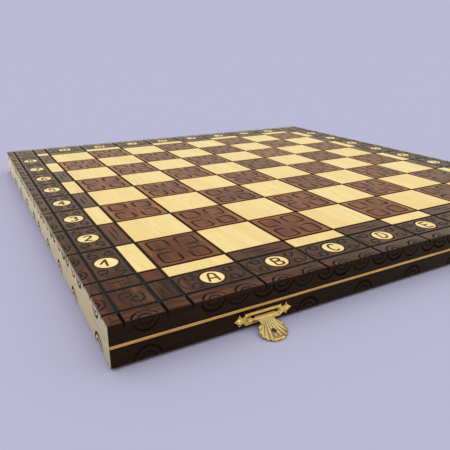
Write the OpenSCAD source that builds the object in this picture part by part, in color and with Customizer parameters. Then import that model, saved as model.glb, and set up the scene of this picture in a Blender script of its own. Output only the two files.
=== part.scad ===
// Folding board box for a board game, opened flat with its playing face up.
// Millimetres. X runs along the letters, Y along the numbers, Z is up.
// The origin is on the fold line, halfway along it, in the plane of the box rims.

/* [Playing field] */
// Side of one playing square, from groove line to groove line
square_w = 52; // [40:1:60]
// Width of the half squares that run round the playing field
half_square_w = 16.5; // [10:0.5:24]
// Width of the strip that carries the letters and numbers
mark_strip_w = 26; // [20:0.5:34]
// Width of the groove milled between two neighbouring fields
groove_w = 1.8; // [0.8:0.1:2.4]
// Thickness of the veneer fields, and so the depth of the grooves
veneer_t = 1; // [0.6:0.1:1.6]
// Diameter of the pale disc that carries a letter or a number
disc_d = 18; // [12:0.5:20]
// Width of the burnt ring round a disc
disc_ring_w = 0.3; // [0.1:0.1:0.8]

/* [Carcass] */
// Height of one half of the box, from rim to playing face
half_h = 28; // [22:0.5:40]
// Width of the front and back rails' top face, outside the last groove
end_rail_top_w = 11.9; // [9:0.1:16]
// Width of the side rails' top face, outside the last groove
side_rail_top_w = 8.6; // [7:0.1:14]
// Width of the rail along the fold
hinge_rail_w = 13; // [12:0.5:16]
// Width of the ledge inside each rail on which the panel rests
ledge_w = 2.2; // [1.5:0.1:5]
// Thickness of the plywood panel under the veneer
panel_t = 4; // [3:0.5:6]
// Gap between the two halves along the fold, and between their rims when shut
fold_gap = 0.3; // [0.2:0.1:0.6]
// Height above the rim of the middle of the pale line round the box
line_z = 14; // [12:0.5:16]
// Height of the pale line
line_h = 2; // [1:0.1:2.6]
// Depth of the pale line's groove in the rails
line_depth = 1; // [0.6:0.1:2]
// How far the pale line's rounded face stands proud of the rails
line_proud = 0.3; // [0.1:0.1:0.5]

/* [Lining] */
// Thickness of the felt under the panel
felt_t = 1.5; // [1:0.1:3]
// Height of the cradle strips that hold the pieces
cradle_h = 9; // [6:0.5:11]
// Thickness of a cradle strip
cradle_t = 8; // [5:0.5:12]
// Radius of the half-round rests in a cradle strip
cradle_r = 7; // [4:0.5:8]
// Distance of each cradle strip from the middle of the hollow
cradle_offset = 60; // [40:1:70]

/* [Hinges] */
// Distance of each hinge from the middle of the fold
hinge_x = 150; // [100:1:180]
// Length of a hinge
hinge_len = 40; // [30:1:50]
// Width of a leaf, from the pin to its free edge
leaf_w = 10.8; // [8:0.2:12]
// Thickness of a leaf
leaf_t = 0.8; // [0.6:0.1:1]
// Outer radius of the hinge knuckles
hinge_knuckle_r = 1.3; // [1.1:0.1:1.5]
// Radius of the hinge pin
hinge_pin_r = 0.6; // [0.5:0.05:0.7]
// Length of a hinge screw
screw_len = 9; // [6:0.5:12]
// Radius of a hinge screw's shank
screw_r = 0.9; // [0.7:0.05:1.2]

/* [Clasps] */
// Distance of each clasp from the middle of the box front
clasp_x = 158; // [100:1:180]
// Height of the flap's pin above the rim
clasp_z = 6.6; // [6.2:0.1:7.4]
// Distance of the flap's pin from the box front
clasp_out = 2.4; // [2.2:0.1:3]
// Half the length of the plate, from middle to pointed end
plate_half_l = 22; // [20:0.5:26]
// Thickness of the clasp plate
plate_t = 1; // [0.8:0.1:1.2]
// Radius of the flap's rolled knuckle
clasp_knuckle_r = 1.5; // [1.3:0.1:1.7]
// Radius of the flap's pin
clasp_pin_r = 0.75; // [0.6:0.05:0.9]
// Length of the flap's rolled knuckle
clasp_knuckle_l = 16; // [12:0.5:18]
// Thickness of the flap
flap_t = 0.9; // [0.7:0.1:1.1]
// Distance from the pin to the middle of the shell
shell_s = 10.8; // [9:0.2:13]
// Radius of the circle through the middles of the shell's lobes
shell_r = 8; // [6:0.2:9]
// Number of lobes round the shell
shell_lobes = 15; // [9:1:21]
// Distance from the pin to the middle of the hole for the knob
hole_s = 12; // [11:0.2:13]
// Radius of the hole for the knob
hole_r = 1.6; // [1.5:0.1:2]
// Angle by which the flap is swung out from hanging straight down
rest_lift = 62; // [55:1:80]
// Angle by which the tip of the shell is bent outwards
tip_bend = 18; // [5:1:30]

/* [Catches] */
// Length of a catch plate
catch_l = 20; // [16:0.5:26]
// Height of a catch plate
catch_h = 7; // [6:0.5:8]
// Thickness of a catch plate
catch_t = 0.8; // [0.6:0.1:1]
// Radius of the knob's neck
knob_neck_r = 1; // [0.8:0.1:1.1]
// Radius of the knob's ball
knob_r = 1.3; // [1.2:0.05:1.4]

/* [Nails] */
// Length of a nail's shank
nail_len = 8; // [5:0.5:9]
// Radius of a nail's shank
nail_r = 0.55; // [0.4:0.05:0.7]
// Radius of a nail's domed head
nail_head_r = 1.2; // [1:0.1:1.5]
// Height of a nail's domed head
nail_head_h = 0.7; // [0.5:0.1:0.9]

/* [Hidden] */
$fn = 48;

dark_wood = [0.36, 0.2, 0.13];
border_wood = [0.28, 0.19, 0.15];
light_wood = [0.93, 0.84, 0.58];
ply_wood = [0.72, 0.58, 0.4];
line_wood = [0.78, 0.6, 0.34];
felt_green = [0.08, 0.3, 0.18];
brass = [0.86, 0.74, 0.42];
steel = [0.7, 0.7, 0.68];

files = 8;
rows = files / 2;
field_w = files * square_w / 2;
marked_w = field_w + half_square_w + mark_strip_w + groove_w / 2;
board_w = 2 * (marked_w + side_rail_top_w);
half_d = marked_w + end_rail_top_w;
end_rail_w = end_rail_top_w + ledge_w;
side_rail_w = side_rail_top_w + ledge_w;
panel_top = half_h - veneer_t;
ledge_z = panel_top - panel_t;
felt_z = ledge_z - felt_t;
cradle_z = felt_z - cradle_h;
hollow_w = board_w - 2 * side_rail_w;
hollow_d = half_d - end_rail_w - hinge_rail_w;
cradle_mid_y = -(half_d - end_rail_w + hinge_rail_w) / 2;
disc_r = disc_d / 2;
fit_gap = 0.05;
run_gap = 0.3;
over = 1;

// Fold axis, midway between the halves and midway between the shut rims
fold_y = fold_gap / 2;
fold_z = -fold_gap / 2;
knuckle_gap = 0.25;
knuckle_len = hinge_len / 3;
hinge_screw_x = hinge_len / 3;
hinge_screw_y = -leaf_w * 0.55;
screw_head_r = screw_r + leaf_t;
slot_w = 0.5;

// Clasp plate and flap, measured from the flap's pin
plate_up = 3.9;
plate_down = 4.5;
plate_body_l = plate_half_l - 9.2;
plate_rib_h = 0.7;
plate_nail_x = plate_half_l - 4.1;
window_l = clasp_knuckle_l / 2 + 2.4;
window_h = clasp_knuckle_r + 0.4;
lug_l = 2.2;
lug_r = clasp_pin_r + 0.95;
lobe_r = 1.6;
neck_root_w = 14;
neck_w = 11.5;
neck_s = 4.5;
bend_s = hole_s + hole_r + 0.6;
thumb_w = 6.4;
thumb_l = 1.6;
thumb_h = 1.8;
thumb_s = shell_s + shell_r;
catch_z = hole_s - clasp_z - fold_gap;
catch_nail_x = catch_l / 2 - catch_h / 2;
knob_ball_out = clasp_out + flap_t / 2 + 1;

// Groove lines across the board: 0 and 12 bound the marked strips, 6 is the fold
function line_at(i) =
    i == 0 ? -(field_w + half_square_w + mark_strip_w) :
    i == 1 ? -(field_w + half_square_w) :
    i == 11 ? field_w + half_square_w :
    i == 12 ? field_w + half_square_w + mark_strip_w :
    (i - 6) * square_w;

// Number of a rank, counted from the front edge, for row j of either half
function rank_of(j, far) = far ? 10 - j : j - 1;

// Fields where letter number and rank number add up to an even number are dark
function is_dark(i, j, far) = (i - 1 + rank_of(j, far)) % 2 == 0;

// Puts a piece that is drawn for the near half onto the far half
module on_far() {
    translate([0, fold_gap, 0]) mirror([0, 1, 0]) children();
}

// Puts a piece drawn in X (along) and Y (up), with Z outwards, on the outer face
module on_outer_face(x, z) {
    translate([x, -half_d, z]) rotate([90, 0, 0]) children();
}

// ---- Rails ----

// Plans of the rails, whose corner joints run from the outer to the inner corner
module end_rail_plan(end_w, side_w) {
    polygon([
        [-board_w / 2, -half_d], [board_w / 2, -half_d],
        [board_w / 2 - side_w, -half_d + end_w], [-board_w / 2 + side_w, -half_d + end_w]
    ]);
}

module side_rail_plan(end_w, side_w) {
    polygon([
        [-board_w / 2, -half_d], [-board_w / 2 + side_w, -half_d + end_w],
        [-board_w / 2 + side_w, 0], [-board_w / 2, 0]
    ]);
}

module line_groove() {
    translate([-board_w / 2 - over, -half_d - over, line_z - line_h / 2])
        cube([board_w + 2 * over, over + line_depth, line_h]);
}

module side_line_groove() {
    translate([-board_w / 2 - over, -half_d - over, line_z - line_h / 2])
        cube([over + line_depth, half_d + 2 * over, line_h]);
}

module end_rail() {
    difference() {
        union() {
            linear_extrude(ledge_z) end_rail_plan(end_rail_w, side_rail_w);
            translate([0, 0, ledge_z])
                linear_extrude(half_h - ledge_z) end_rail_plan(end_rail_top_w, side_rail_top_w);
        }
        for (i = [0:12])
            translate([line_at(i) - groove_w / 2, -half_d - over, panel_top])
                cube([groove_w, end_rail_top_w + 2 * over, veneer_t + over]);
        line_groove();
    }
}

module side_rail() {
    difference() {
        union() {
            linear_extrude(ledge_z) side_rail_plan(end_rail_w, side_rail_w);
            translate([0, 0, ledge_z])
                linear_extrude(half_h - ledge_z) side_rail_plan(end_rail_top_w, side_rail_top_w);
        }
        for (j = [0:6])
            translate([-board_w / 2 - over, line_at(j) - groove_w / 2, panel_top])
                cube([side_rail_top_w + 2 * over, groove_w, veneer_t + over]);
        side_line_groove();
    }
}

module hinge_rail() {
    difference() {
        translate([-hollow_w / 2, -hinge_rail_w, 0]) cube([hollow_w, hinge_rail_w, ledge_z]);
        for (side = [-1, 1]) translate([side * hinge_x, 0, 0]) {
            translate([-hinge_len / 2, -leaf_w, -over]) cube([hinge_len, leaf_w + over, leaf_t + over]);
            hinge_rod(hinge_len + 2 * run_gap, hinge_knuckle_r + run_gap);
            hinge_screw_bores();
        }
    }
}

// ---- Panel, lining and pale line ----

module panel() {
    translate([-board_w / 2 + side_rail_top_w, -half_d + end_rail_top_w, ledge_z])
        cube([board_w - 2 * side_rail_top_w, half_d - end_rail_top_w, panel_t]);
}

module felt() {
    translate([-hollow_w / 2, -half_d + end_rail_w, felt_z])
        cube([hollow_w, hollow_d, felt_t]);
}

module cradle_strip(y) {
    difference() {
        translate([-hollow_w / 2, y - cradle_t / 2, cradle_z])
            cube([hollow_w, cradle_t, cradle_h]);
        for (i = [2:9])
            translate([(line_at(i) + line_at(i + 1)) / 2, y, cradle_z])
                rotate([90, 0, 0]) cylinder(r = cradle_r, h = cradle_t + 2 * over, center = true);
    }
}

module cradle_strips() {
    for (side = [-1, 1]) cradle_strip(cradle_mid_y + side * cradle_offset);
}

// Section of the pale line: X is outwards from the rail's face, Y is up
module line_section() {
    face_r = (pow(line_h / 2, 2) + pow(line_proud, 2)) / (2 * line_proud);
    intersection() {
        translate([-line_depth, -line_h / 2]) square([line_depth + line_proud, line_h]);
        union() {
            translate([line_proud - face_r, 0]) circle(r = face_r);
            translate([-line_depth, -line_h / 2]) square([line_depth, line_h]);
        }
    }
}

module pale_line_front() {
    reach = 5;
    intersection() {
        translate([board_w / 2 + reach, -half_d, line_z])
            rotate([90, 0, -90]) linear_extrude(board_w + 2 * reach) line_section();
        linear_extrude(half_h) polygon([
            [-board_w / 2 - reach + fit_gap, -half_d - reach],
            [board_w / 2 + reach - fit_gap, -half_d - reach],
            [board_w / 2 - reach - fit_gap, -half_d + reach],
            [-board_w / 2 + reach + fit_gap, -half_d + reach]
        ]);
    }
}

module pale_line_side() {
    reach = 5;
    intersection() {
        translate([-board_w / 2, 0, line_z])
            rotate([90, 0, 0]) mirror([1, 0, 0])
                linear_extrude(half_d + reach) line_section();
        linear_extrude(half_h) polygon([
            [-board_w / 2 - reach, -half_d - reach], [-board_w / 2 + reach, -half_d + reach],
            [-board_w / 2 + reach, 0], [-board_w / 2 - reach, 0]
        ]);
    }
}

module pale_line() {
    pale_line_front();
    pale_line_side();
    mirror([1, 0, 0]) pale_line_side();
}

// ---- Veneer fields ----

module tile(i, j) {
    translate([line_at(i) + groove_w / 2, line_at(j) + groove_w / 2, panel_top])
        cube([
            line_at(i + 1) - line_at(i) - groove_w,
            line_at(j + 1) - line_at(j) - groove_w,
            veneer_t
        ]);
}

module disc_at(i, j, r, t) {
    translate([(line_at(i) + line_at(i + 1)) / 2, (line_at(j) + line_at(j + 1)) / 2, panel_top])
        cylinder(r = r, h = t);
}

module marked_tile(i, j) {
    difference() {
        tile(i, j);
        translate([0, 0, -over]) disc_at(i, j, disc_r + disc_ring_w, veneer_t + 2 * over);
    }
}

module squares(far, dark) {
    for (i = [2:9]) for (j = [2:rows + 1])
        if (is_dark(i, j, far) == dark) tile(i, j);
}

module half_squares(far, dark) {
    for (i = [1:10]) if (is_dark(i, 1, far) == dark) tile(i, 1);
    for (i = [1, 10]) for (j = [2:rows + 1]) if (is_dark(i, j, far) == dark) tile(i, j);
}

module letter_tiles() {
    for (i = [2:9]) marked_tile(i, 0);
}

module number_tiles() {
    for (i = [0, 11]) for (j = [2:rows + 1]) marked_tile(i, j);
}

module corner_tiles() {
    for (i = [0, 1, 10, 11]) tile(i, 0);
    for (i = [0, 11]) tile(i, 1);
}

module letter_discs() {
    for (i = [2:9]) disc_at(i, 0, disc_r, veneer_t);
}

module number_discs() {
    for (i = [0, 11]) for (j = [2:rows + 1]) disc_at(i, j, disc_r, veneer_t);
}

// ---- Nails ----

// A domed nail pointing down local Z, with its head seated at Z = 0
module nail() {
    dome_r = (pow(nail_head_r, 2) + pow(nail_head_h, 2)) / (2 * nail_head_h);
    intersection() {
        translate([0, 0, nail_head_h - dome_r]) sphere(r = dome_r);
        cylinder(r = nail_head_r, h = nail_head_h);
    }
    translate([0, 0, -nail_len]) cylinder(r = nail_r, h = nail_len + nail_head_h / 2);
}

module nail_bore() {
    translate([0, 0, -nail_len - fit_gap]) cylinder(r = nail_r + fit_gap, h = nail_len + 2 * over);
}

module at_clasp_nails() {
    for (end = [-1, 1]) translate([end * plate_nail_x, 0, plate_t]) children();
}

module at_catch_nails() {
    for (end = [-1, 1]) translate([end * catch_nail_x, 0, catch_t]) children();
}

// ---- Clasps ----

// Half of the plate's outline, with a scooped waist and a three-pointed end
module plate_half_outline() {
    tip = plate_half_l;
    difference() {
        union() {
            translate([-over, -plate_down]) square([plate_body_l + over, plate_down + plate_up]);
            polygon([
                [plate_body_l - 1, 2.8], [tip - 5.5, 2.2], [tip - 4, 3.8], [tip - 2.2, 1.5],
                [tip, 0.1], [tip - 2.2, -1.4], [tip - 3.6, -4.3], [tip - 5.5, -2.9],
                [plate_body_l - 1, -3.4]
            ]);
        }
        translate([tip - 6.9, 4.1]) circle(r = 1.9);
        translate([tip - 6.9, -4.6]) circle(r = 1.8);
    }
}

module clasp_plate() {
    difference() {
        union() {
            linear_extrude(plate_t) {
                plate_half_outline();
                mirror([1, 0]) plate_half_outline();
            }
            translate([-plate_body_l + 0.6, window_h + 0.4, plate_t])
                cube([2 * plate_body_l - 1.2, plate_up - window_h - 0.8, plate_rib_h]);
            for (end = [-1, 1]) translate([end * (window_l + lug_l / 2), 0, 0]) {
                translate([-lug_l / 2, -lug_r, 0]) cube([lug_l, 2 * lug_r, clasp_out]);
                translate([0, 0, clasp_out]) rotate([0, 90, 0])
                    cylinder(r = lug_r, h = lug_l, center = true);
            }
        }
        translate([-window_l, -window_h, -over])
            cube([2 * window_l, 2 * window_h, plate_t + 2 * over]);
        translate([0, 0, clasp_out]) rotate([0, 90, 0])
            cylinder(r = clasp_pin_r + fit_gap, h = 2 * (window_l + lug_l + over), center = true);
        at_clasp_nails() nail_bore();
    }
}

module clasp_pin() {
    translate([0, 0, clasp_out]) rotate([0, 90, 0])
        cylinder(r = clasp_pin_r, h = 2 * (window_l + lug_l) + 0.5, center = true);
}

// Outline of the flap, hanging from its pin at the origin
module flap_outline() {
    difference() {
        union() {
            polygon([
                [-neck_root_w / 2, 0], [neck_root_w / 2, 0], [neck_w / 2, -neck_s / 2],
                [neck_w / 2, -neck_s], [shell_r * 0.8, -shell_s + shell_r * 0.6],
                [-shell_r * 0.8, -shell_s + shell_r * 0.6], [-neck_w / 2, -neck_s],
                [-neck_w / 2, -neck_s / 2]
            ]);
            translate([0, -shell_s]) circle(r = shell_r);
            for (k = [0:shell_lobes - 1]) {
                turn = -90 + (k - (shell_lobes - 1) / 2) * 270 / (shell_lobes - 1);
                translate([shell_r * cos(turn), -shell_s + shell_r * sin(turn)]) circle(r = lobe_r);
            }
        }
        translate([0, -hole_s]) circle(r = hole_r);
    }
}

module clasp_flap_hanging() {
    reach = 3 * shell_s;
    difference() {
        union() {
            rotate([0, 90, 0])
                cylinder(r = clasp_knuckle_r, h = clasp_knuckle_l, center = true);
            translate([0, 0, -flap_t / 2]) linear_extrude(flap_t) intersection() {
                flap_outline();
                translate([-reach, -bend_s]) square([2 * reach, bend_s + over]);
            }
            translate([0, -bend_s, 0]) rotate([-tip_bend, 0, 0]) {
                translate([0, bend_s, -flap_t / 2]) linear_extrude(flap_t) intersection() {
                    flap_outline();
                    translate([-reach, -bend_s - reach]) square([2 * reach, reach]);
                }
                translate([-thumb_w / 2, bend_s - thumb_s - thumb_l / 2, 0])
                    cube([thumb_w, thumb_l, thumb_h]);
            }
            translate([0, -bend_s, 0]) rotate([0, 90, 0])
                cylinder(r = flap_t / 2, h = 2 * shell_r * 0.8, center = true);
        }
        rotate([0, 90, 0])
            cylinder(r = clasp_pin_r + fit_gap, h = clasp_knuckle_l + 2 * over, center = true);
    }
}

module clasp_flap() {
    translate([0, 0, clasp_out]) rotate([-rest_lift, 0, 0]) clasp_flap_hanging();
}

// ---- Catches ----

module catch_plate() {
    difference() {
        linear_extrude(catch_t) {
            square([catch_l - catch_h, catch_h], center = true);
            for (end = [-1, 1]) translate([end * (catch_l - catch_h) / 2, 0]) circle(d = catch_h);
        }
        translate([0, 0, -over]) cylinder(r = knob_neck_r + fit_gap, h = catch_t + 2 * over);
        at_catch_nails() nail_bore();
    }
}

module catch_knob() {
    translate([0, 0, -nail_len]) cylinder(r = knob_neck_r, h = nail_len + knob_ball_out);
    translate([0, 0, knob_ball_out]) sphere(r = knob_r);
}

module catch_bores() {
    translate([0, 0, -nail_len - fit_gap])
        cylinder(r = knob_neck_r + fit_gap, h = nail_len + over);
    at_catch_nails() nail_bore();
}

// ---- Hinges ----

// A rod on the fold axis, centred on the hinge
module hinge_rod(len, r) {
    translate([0, fold_y, fold_z]) rotate([0, 90, 0]) cylinder(r = r, h = len, center = true);
}

// Plate and knuckles of one leaf: the near leaf has the two end knuckles
module hinge_leaf(end_knuckles) {
    difference() {
        union() {
            translate([-hinge_len / 2, -leaf_w, 0]) cube([hinge_len, leaf_w + fold_y, leaf_t]);
            if (end_knuckles) {
                hinge_rod(hinge_len, hinge_knuckle_r);
            } else {
                hinge_rod(knuckle_len - knuckle_gap, hinge_knuckle_r);
            }
        }
        if (end_knuckles) {
            hinge_rod(knuckle_len + knuckle_gap, hinge_knuckle_r + knuckle_gap);
        } else {
            for (end = [-1, 1]) translate([end * (knuckle_len + over / 2), 0, 0])
                hinge_rod(knuckle_len + over + knuckle_gap, hinge_knuckle_r + knuckle_gap);
        }
        hinge_rod(hinge_len + 2 * over, hinge_pin_r + fit_gap);
        for (end = [-1, 1]) translate([end * hinge_screw_x, hinge_screw_y, -fit_gap])
            cylinder(r1 = screw_head_r + 2 * fit_gap, r2 = screw_r + fit_gap, h = leaf_t + 2 * fit_gap);
    }
}

module hinge_screws() {
    for (end = [-1, 1]) translate([end * hinge_screw_x, hinge_screw_y, 0]) difference() {
        union() {
            cylinder(r1 = screw_head_r, r2 = screw_r, h = leaf_t);
            cylinder(r = screw_r, h = screw_len);
        }
        translate([-screw_head_r - over, -slot_w / 2, -over])
            cube([2 * (screw_head_r + over), slot_w, over + leaf_t / 2]);
    }
}

module hinge_screw_bores() {
    for (end = [-1, 1]) translate([end * hinge_screw_x, hinge_screw_y, 0])
        cylinder(r = screw_r + fit_gap, h = screw_len + fit_gap);
}

// ---- Near half ----

module near_front_rail() {
    color(border_wood) difference() {
        end_rail();
        for (side = [-1, 1]) on_outer_face(side * clasp_x, clasp_z) at_clasp_nails() nail_bore();
    }
}
module near_left_rail() { color(border_wood) side_rail(); }
module near_right_rail() { color(border_wood) mirror([1, 0, 0]) side_rail(); }
module near_hinge_rail() { color(border_wood) hinge_rail(); }
module near_panel() { color(ply_wood) panel(); }
module near_felt() { color(felt_green) felt(); }
module near_cradle_strips() { color(ply_wood) cradle_strips(); }
module near_pale_line() { color(line_wood) pale_line(); }
module near_light_squares() { color(light_wood) squares(false, false); }
module near_dark_squares() { color(dark_wood) squares(false, true); }
module near_light_half_squares() { color(light_wood) half_squares(false, false); }
module near_dark_half_squares() { color(dark_wood) half_squares(false, true); }
module near_letter_tiles() { color(border_wood) letter_tiles(); }
module near_number_tiles() { color(border_wood) number_tiles(); }
module near_corner_tiles() { color(border_wood) corner_tiles(); }
module near_letter_discs() { color(light_wood) letter_discs(); }
module near_number_discs() { color(light_wood) number_discs(); }

// ---- Far half ----

module far_back_rail() {
    color(border_wood) on_far() difference() {
        end_rail();
        for (side = [-1, 1]) on_outer_face(side * clasp_x, catch_z) catch_bores();
    }
}
module far_left_rail() { color(border_wood) on_far() side_rail(); }
module far_right_rail() { color(border_wood) on_far() mirror([1, 0, 0]) side_rail(); }
module far_hinge_rail() { color(border_wood) on_far() hinge_rail(); }
module far_panel() { color(ply_wood) on_far() panel(); }
module far_felt() { color(felt_green) on_far() felt(); }
module far_cradle_strips() { color(ply_wood) on_far() cradle_strips(); }
module far_pale_line() { color(line_wood) on_far() pale_line(); }
module far_light_squares() { color(light_wood) on_far() squares(true, false); }
module far_dark_squares() { color(dark_wood) on_far() squares(true, true); }
module far_light_half_squares() { color(light_wood) on_far() half_squares(true, false); }
module far_dark_half_squares() { color(dark_wood) on_far() half_squares(true, true); }
module far_letter_tiles() { color(border_wood) on_far() letter_tiles(); }
module far_number_tiles() { color(border_wood) on_far() number_tiles(); }
module far_corner_tiles() { color(border_wood) on_far() corner_tiles(); }
module far_letter_discs() { color(light_wood) on_far() letter_discs(); }
module far_number_discs() { color(light_wood) on_far() number_discs(); }

// ---- Hardware, side is -1 on the left and 1 on the right ----

module placed_clasp_plate(side) { color(brass) on_outer_face(side * clasp_x, clasp_z) clasp_plate(); }
module placed_clasp_flap(side) { color(brass) on_outer_face(side * clasp_x, clasp_z) clasp_flap(); }
module placed_clasp_pin(side) { color(brass) on_outer_face(side * clasp_x, clasp_z) clasp_pin(); }
module placed_clasp_nails(side) {
    color(brass) on_outer_face(side * clasp_x, clasp_z) at_clasp_nails() nail();
}
module placed_catch_plate(side) {
    color(brass) on_far() on_outer_face(side * clasp_x, catch_z) catch_plate();
}
module placed_catch_knob(side) {
    color(brass) on_far() on_outer_face(side * clasp_x, catch_z) catch_knob();
}
module placed_catch_nails(side) {
    color(brass) on_far() on_outer_face(side * clasp_x, catch_z) at_catch_nails() nail();
}
module placed_near_leaf(side) { color(brass) translate([side * hinge_x, 0, 0]) hinge_leaf(true); }
module placed_far_leaf(side) {
    color(brass) on_far() translate([side * hinge_x, 0, 0]) hinge_leaf(false);
}
module placed_hinge_pin(side) {
    color(steel) translate([side * hinge_x, 0, 0]) hinge_rod(hinge_len, hinge_pin_r);
}
module placed_near_screws(side) { color(brass) translate([side * hinge_x, 0, 0]) hinge_screws(); }
module placed_far_screws(side) {
    color(brass) on_far() translate([side * hinge_x, 0, 0]) hinge_screws();
}

near_front_rail();
near_left_rail();
near_right_rail();
near_hinge_rail();
near_panel();
near_felt();
near_cradle_strips();
near_pale_line();
near_light_squares();
near_dark_squares();
near_light_half_squares();
near_dark_half_squares();
near_letter_tiles();
near_number_tiles();
near_corner_tiles();
near_letter_discs();
near_number_discs();
far_back_rail();
far_left_rail();
far_right_rail();
far_hinge_rail();
far_panel();
far_felt();
far_cradle_strips();
far_pale_line();
far_light_squares();
far_dark_squares();
far_light_half_squares();
far_dark_half_squares();
far_letter_tiles();
far_number_tiles();
far_corner_tiles();
far_letter_discs();
far_number_discs();
placed_clasp_plate(-1);  // left_clasp_plate
placed_clasp_flap(-1);  // left_clasp_flap
placed_clasp_pin(-1);  // left_clasp_pin
placed_clasp_nails(-1);  // left_clasp_nails
placed_clasp_plate(1);  // right_clasp_plate
placed_clasp_flap(1);  // right_clasp_flap
placed_clasp_pin(1);  // right_clasp_pin
placed_clasp_nails(1);  // right_clasp_nails
placed_catch_plate(-1);  // left_catch_plate
placed_catch_knob(-1);  // left_catch_knob
placed_catch_nails(-1);  // left_catch_nails
placed_catch_plate(1);  // right_catch_plate
placed_catch_knob(1);  // right_catch_knob
placed_catch_nails(1);  // right_catch_nails
placed_near_leaf(-1);  // left_hinge_near_leaf
placed_far_leaf(-1);  // left_hinge_far_leaf
placed_hinge_pin(-1);  // left_hinge_pin
placed_near_screws(-1);  // left_hinge_near_screws
placed_far_screws(-1);  // left_hinge_far_screws
placed_near_leaf(1);  // right_hinge_near_leaf
placed_far_leaf(1);  // right_hinge_far_leaf
placed_hinge_pin(1);  // right_hinge_pin
placed_near_screws(1);  // right_hinge_near_screws
placed_far_screws(1);  // right_hinge_far_screws
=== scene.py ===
"""Dresses the folding board box: carved and burnt wood, stamped brass, felt lining and soft light."""

import logging
import math
import random
from dataclasses import dataclass, field, replace
from enum import Enum
from functools import partial
from typing import Any, Callable, Iterable, Mapping, Sequence

import bmesh
import bpy
import numpy as np
from mathutils import Matrix, Vector
from mathutils.geometry import delaunay_2d_cdt


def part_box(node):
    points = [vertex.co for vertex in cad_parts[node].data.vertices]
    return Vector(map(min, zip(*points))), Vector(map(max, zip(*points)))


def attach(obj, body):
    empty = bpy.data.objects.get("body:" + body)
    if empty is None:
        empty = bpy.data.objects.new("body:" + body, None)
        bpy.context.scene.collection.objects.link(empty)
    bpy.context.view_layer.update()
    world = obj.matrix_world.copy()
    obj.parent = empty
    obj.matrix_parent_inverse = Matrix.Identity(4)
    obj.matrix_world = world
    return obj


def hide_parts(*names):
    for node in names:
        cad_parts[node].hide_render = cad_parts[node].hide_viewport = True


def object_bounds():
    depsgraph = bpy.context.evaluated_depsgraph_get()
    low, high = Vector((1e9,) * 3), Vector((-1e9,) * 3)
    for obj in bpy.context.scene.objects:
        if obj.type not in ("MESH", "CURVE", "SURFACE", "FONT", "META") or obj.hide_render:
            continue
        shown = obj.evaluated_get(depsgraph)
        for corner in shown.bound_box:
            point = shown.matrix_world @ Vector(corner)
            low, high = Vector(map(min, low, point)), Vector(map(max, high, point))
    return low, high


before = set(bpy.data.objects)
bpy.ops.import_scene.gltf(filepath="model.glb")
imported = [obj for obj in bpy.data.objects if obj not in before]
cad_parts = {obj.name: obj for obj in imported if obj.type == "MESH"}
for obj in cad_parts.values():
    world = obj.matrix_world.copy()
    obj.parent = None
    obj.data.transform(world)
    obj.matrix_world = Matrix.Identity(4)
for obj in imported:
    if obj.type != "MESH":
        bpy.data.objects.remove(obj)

CAD_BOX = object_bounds()
LOG = logging.getLogger("board_box")
MM = 0.001
TINY = 1e-6
SHARP_WOOD, SHARP_BRASS, SHARP_FELT = 28, 42, 50
VENEER_SEED, RAIL_SEED = 40, 70

Pair = tuple[float, float]
Path = list[Pair]
Colour = tuple[float, float, float]


def srgb(red: float, green: float, blue: float) -> Colour:
    """Turns a screen colour from 0 to 255 into the linear colour that shaders use.

    Args:
        red: Red as the screen shows it.
        green: Green as the screen shows it.
        blue: Blue as the screen shows it.

    Returns:
        The linear colour.
    """
    shares = [channel / 255 for channel in (red, green, blue)]
    return tuple(s / 12.92 if s <= 0.04045 else ((s + 0.055) / 1.055) ** 2.4 for s in shares)


# ---- Shader maths ----


class Value:
    """One value in a shader. Arithmetic on it adds Math nodes to the material it belongs to."""

    def __init__(self, shader: "Shader", socket: bpy.types.NodeSocket) -> None:
        """Wraps an output socket of that shader."""
        self.shader = shader
        self.socket = socket

    def _math(self, operation: str, *operands: Any) -> "Value":
        """Adds one Math node.

        Args:
            operation: The Math node's operation.
            operands: Numbers or values, in the order of the node's sockets.

        Returns:
            The node's result.
        """
        return self.shader.node("ShaderNodeMath", {"operation": operation}, dict(enumerate(operands)))[0]

    def __add__(self, other: Any) -> "Value":
        """Sum of two values."""
        return self._math("ADD", self, other)

    def __radd__(self, other: Any) -> "Value":
        """Sum with a number on the left."""
        return self._math("ADD", other, self)

    def __sub__(self, other: Any) -> "Value":
        """Difference of two values."""
        return self._math("SUBTRACT", self, other)

    def __rsub__(self, other: Any) -> "Value":
        """Difference with a number on the left."""
        return self._math("SUBTRACT", other, self)

    def __mul__(self, other: Any) -> "Value":
        """Product of two values."""
        return self._math("MULTIPLY", self, other)

    def __rmul__(self, other: Any) -> "Value":
        """Product with a number on the left."""
        return self._math("MULTIPLY", other, self)

    def clamp(self) -> "Value":
        """Limits the value to the range from 0 to 1."""
        return self.shader.node("ShaderNodeClamp", {}, {"Value": self})[0]

    def to_line(self, pitch: float) -> "Value":
        """Distance to the nearest of evenly spaced lines, one of which is at 0."""
        return self._math("PINGPONG", self, pitch / 2)

    def least(self, other: "Value") -> "Value":
        """The lesser of two values."""
        return self._math("MINIMUM", self, other)

    def step(self, low: float, high: float) -> "Value":
        """Rises smoothly from 0 at low to 1 at high.

        Args:
            low: Where the step starts.
            high: Where the step ends.

        Returns:
            The step's value.
        """
        settings = {"interpolation_type": "SMOOTHSTEP"}
        return self.shader.node("ShaderNodeMapRange", settings, {"Value": self, 1: low, 2: high})[0]


class Made:
    """A node that was made, whose outputs are read as values."""

    def __init__(self, shader: "Shader", node: bpy.types.Node) -> None:
        """Keeps the node with its shader."""
        self.shader = shader
        self.node = node

    def __getitem__(self, output: int | str) -> Value:
        """One output of the node, by its place or its name."""
        return Value(self.shader, self.node.outputs[output])


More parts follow.
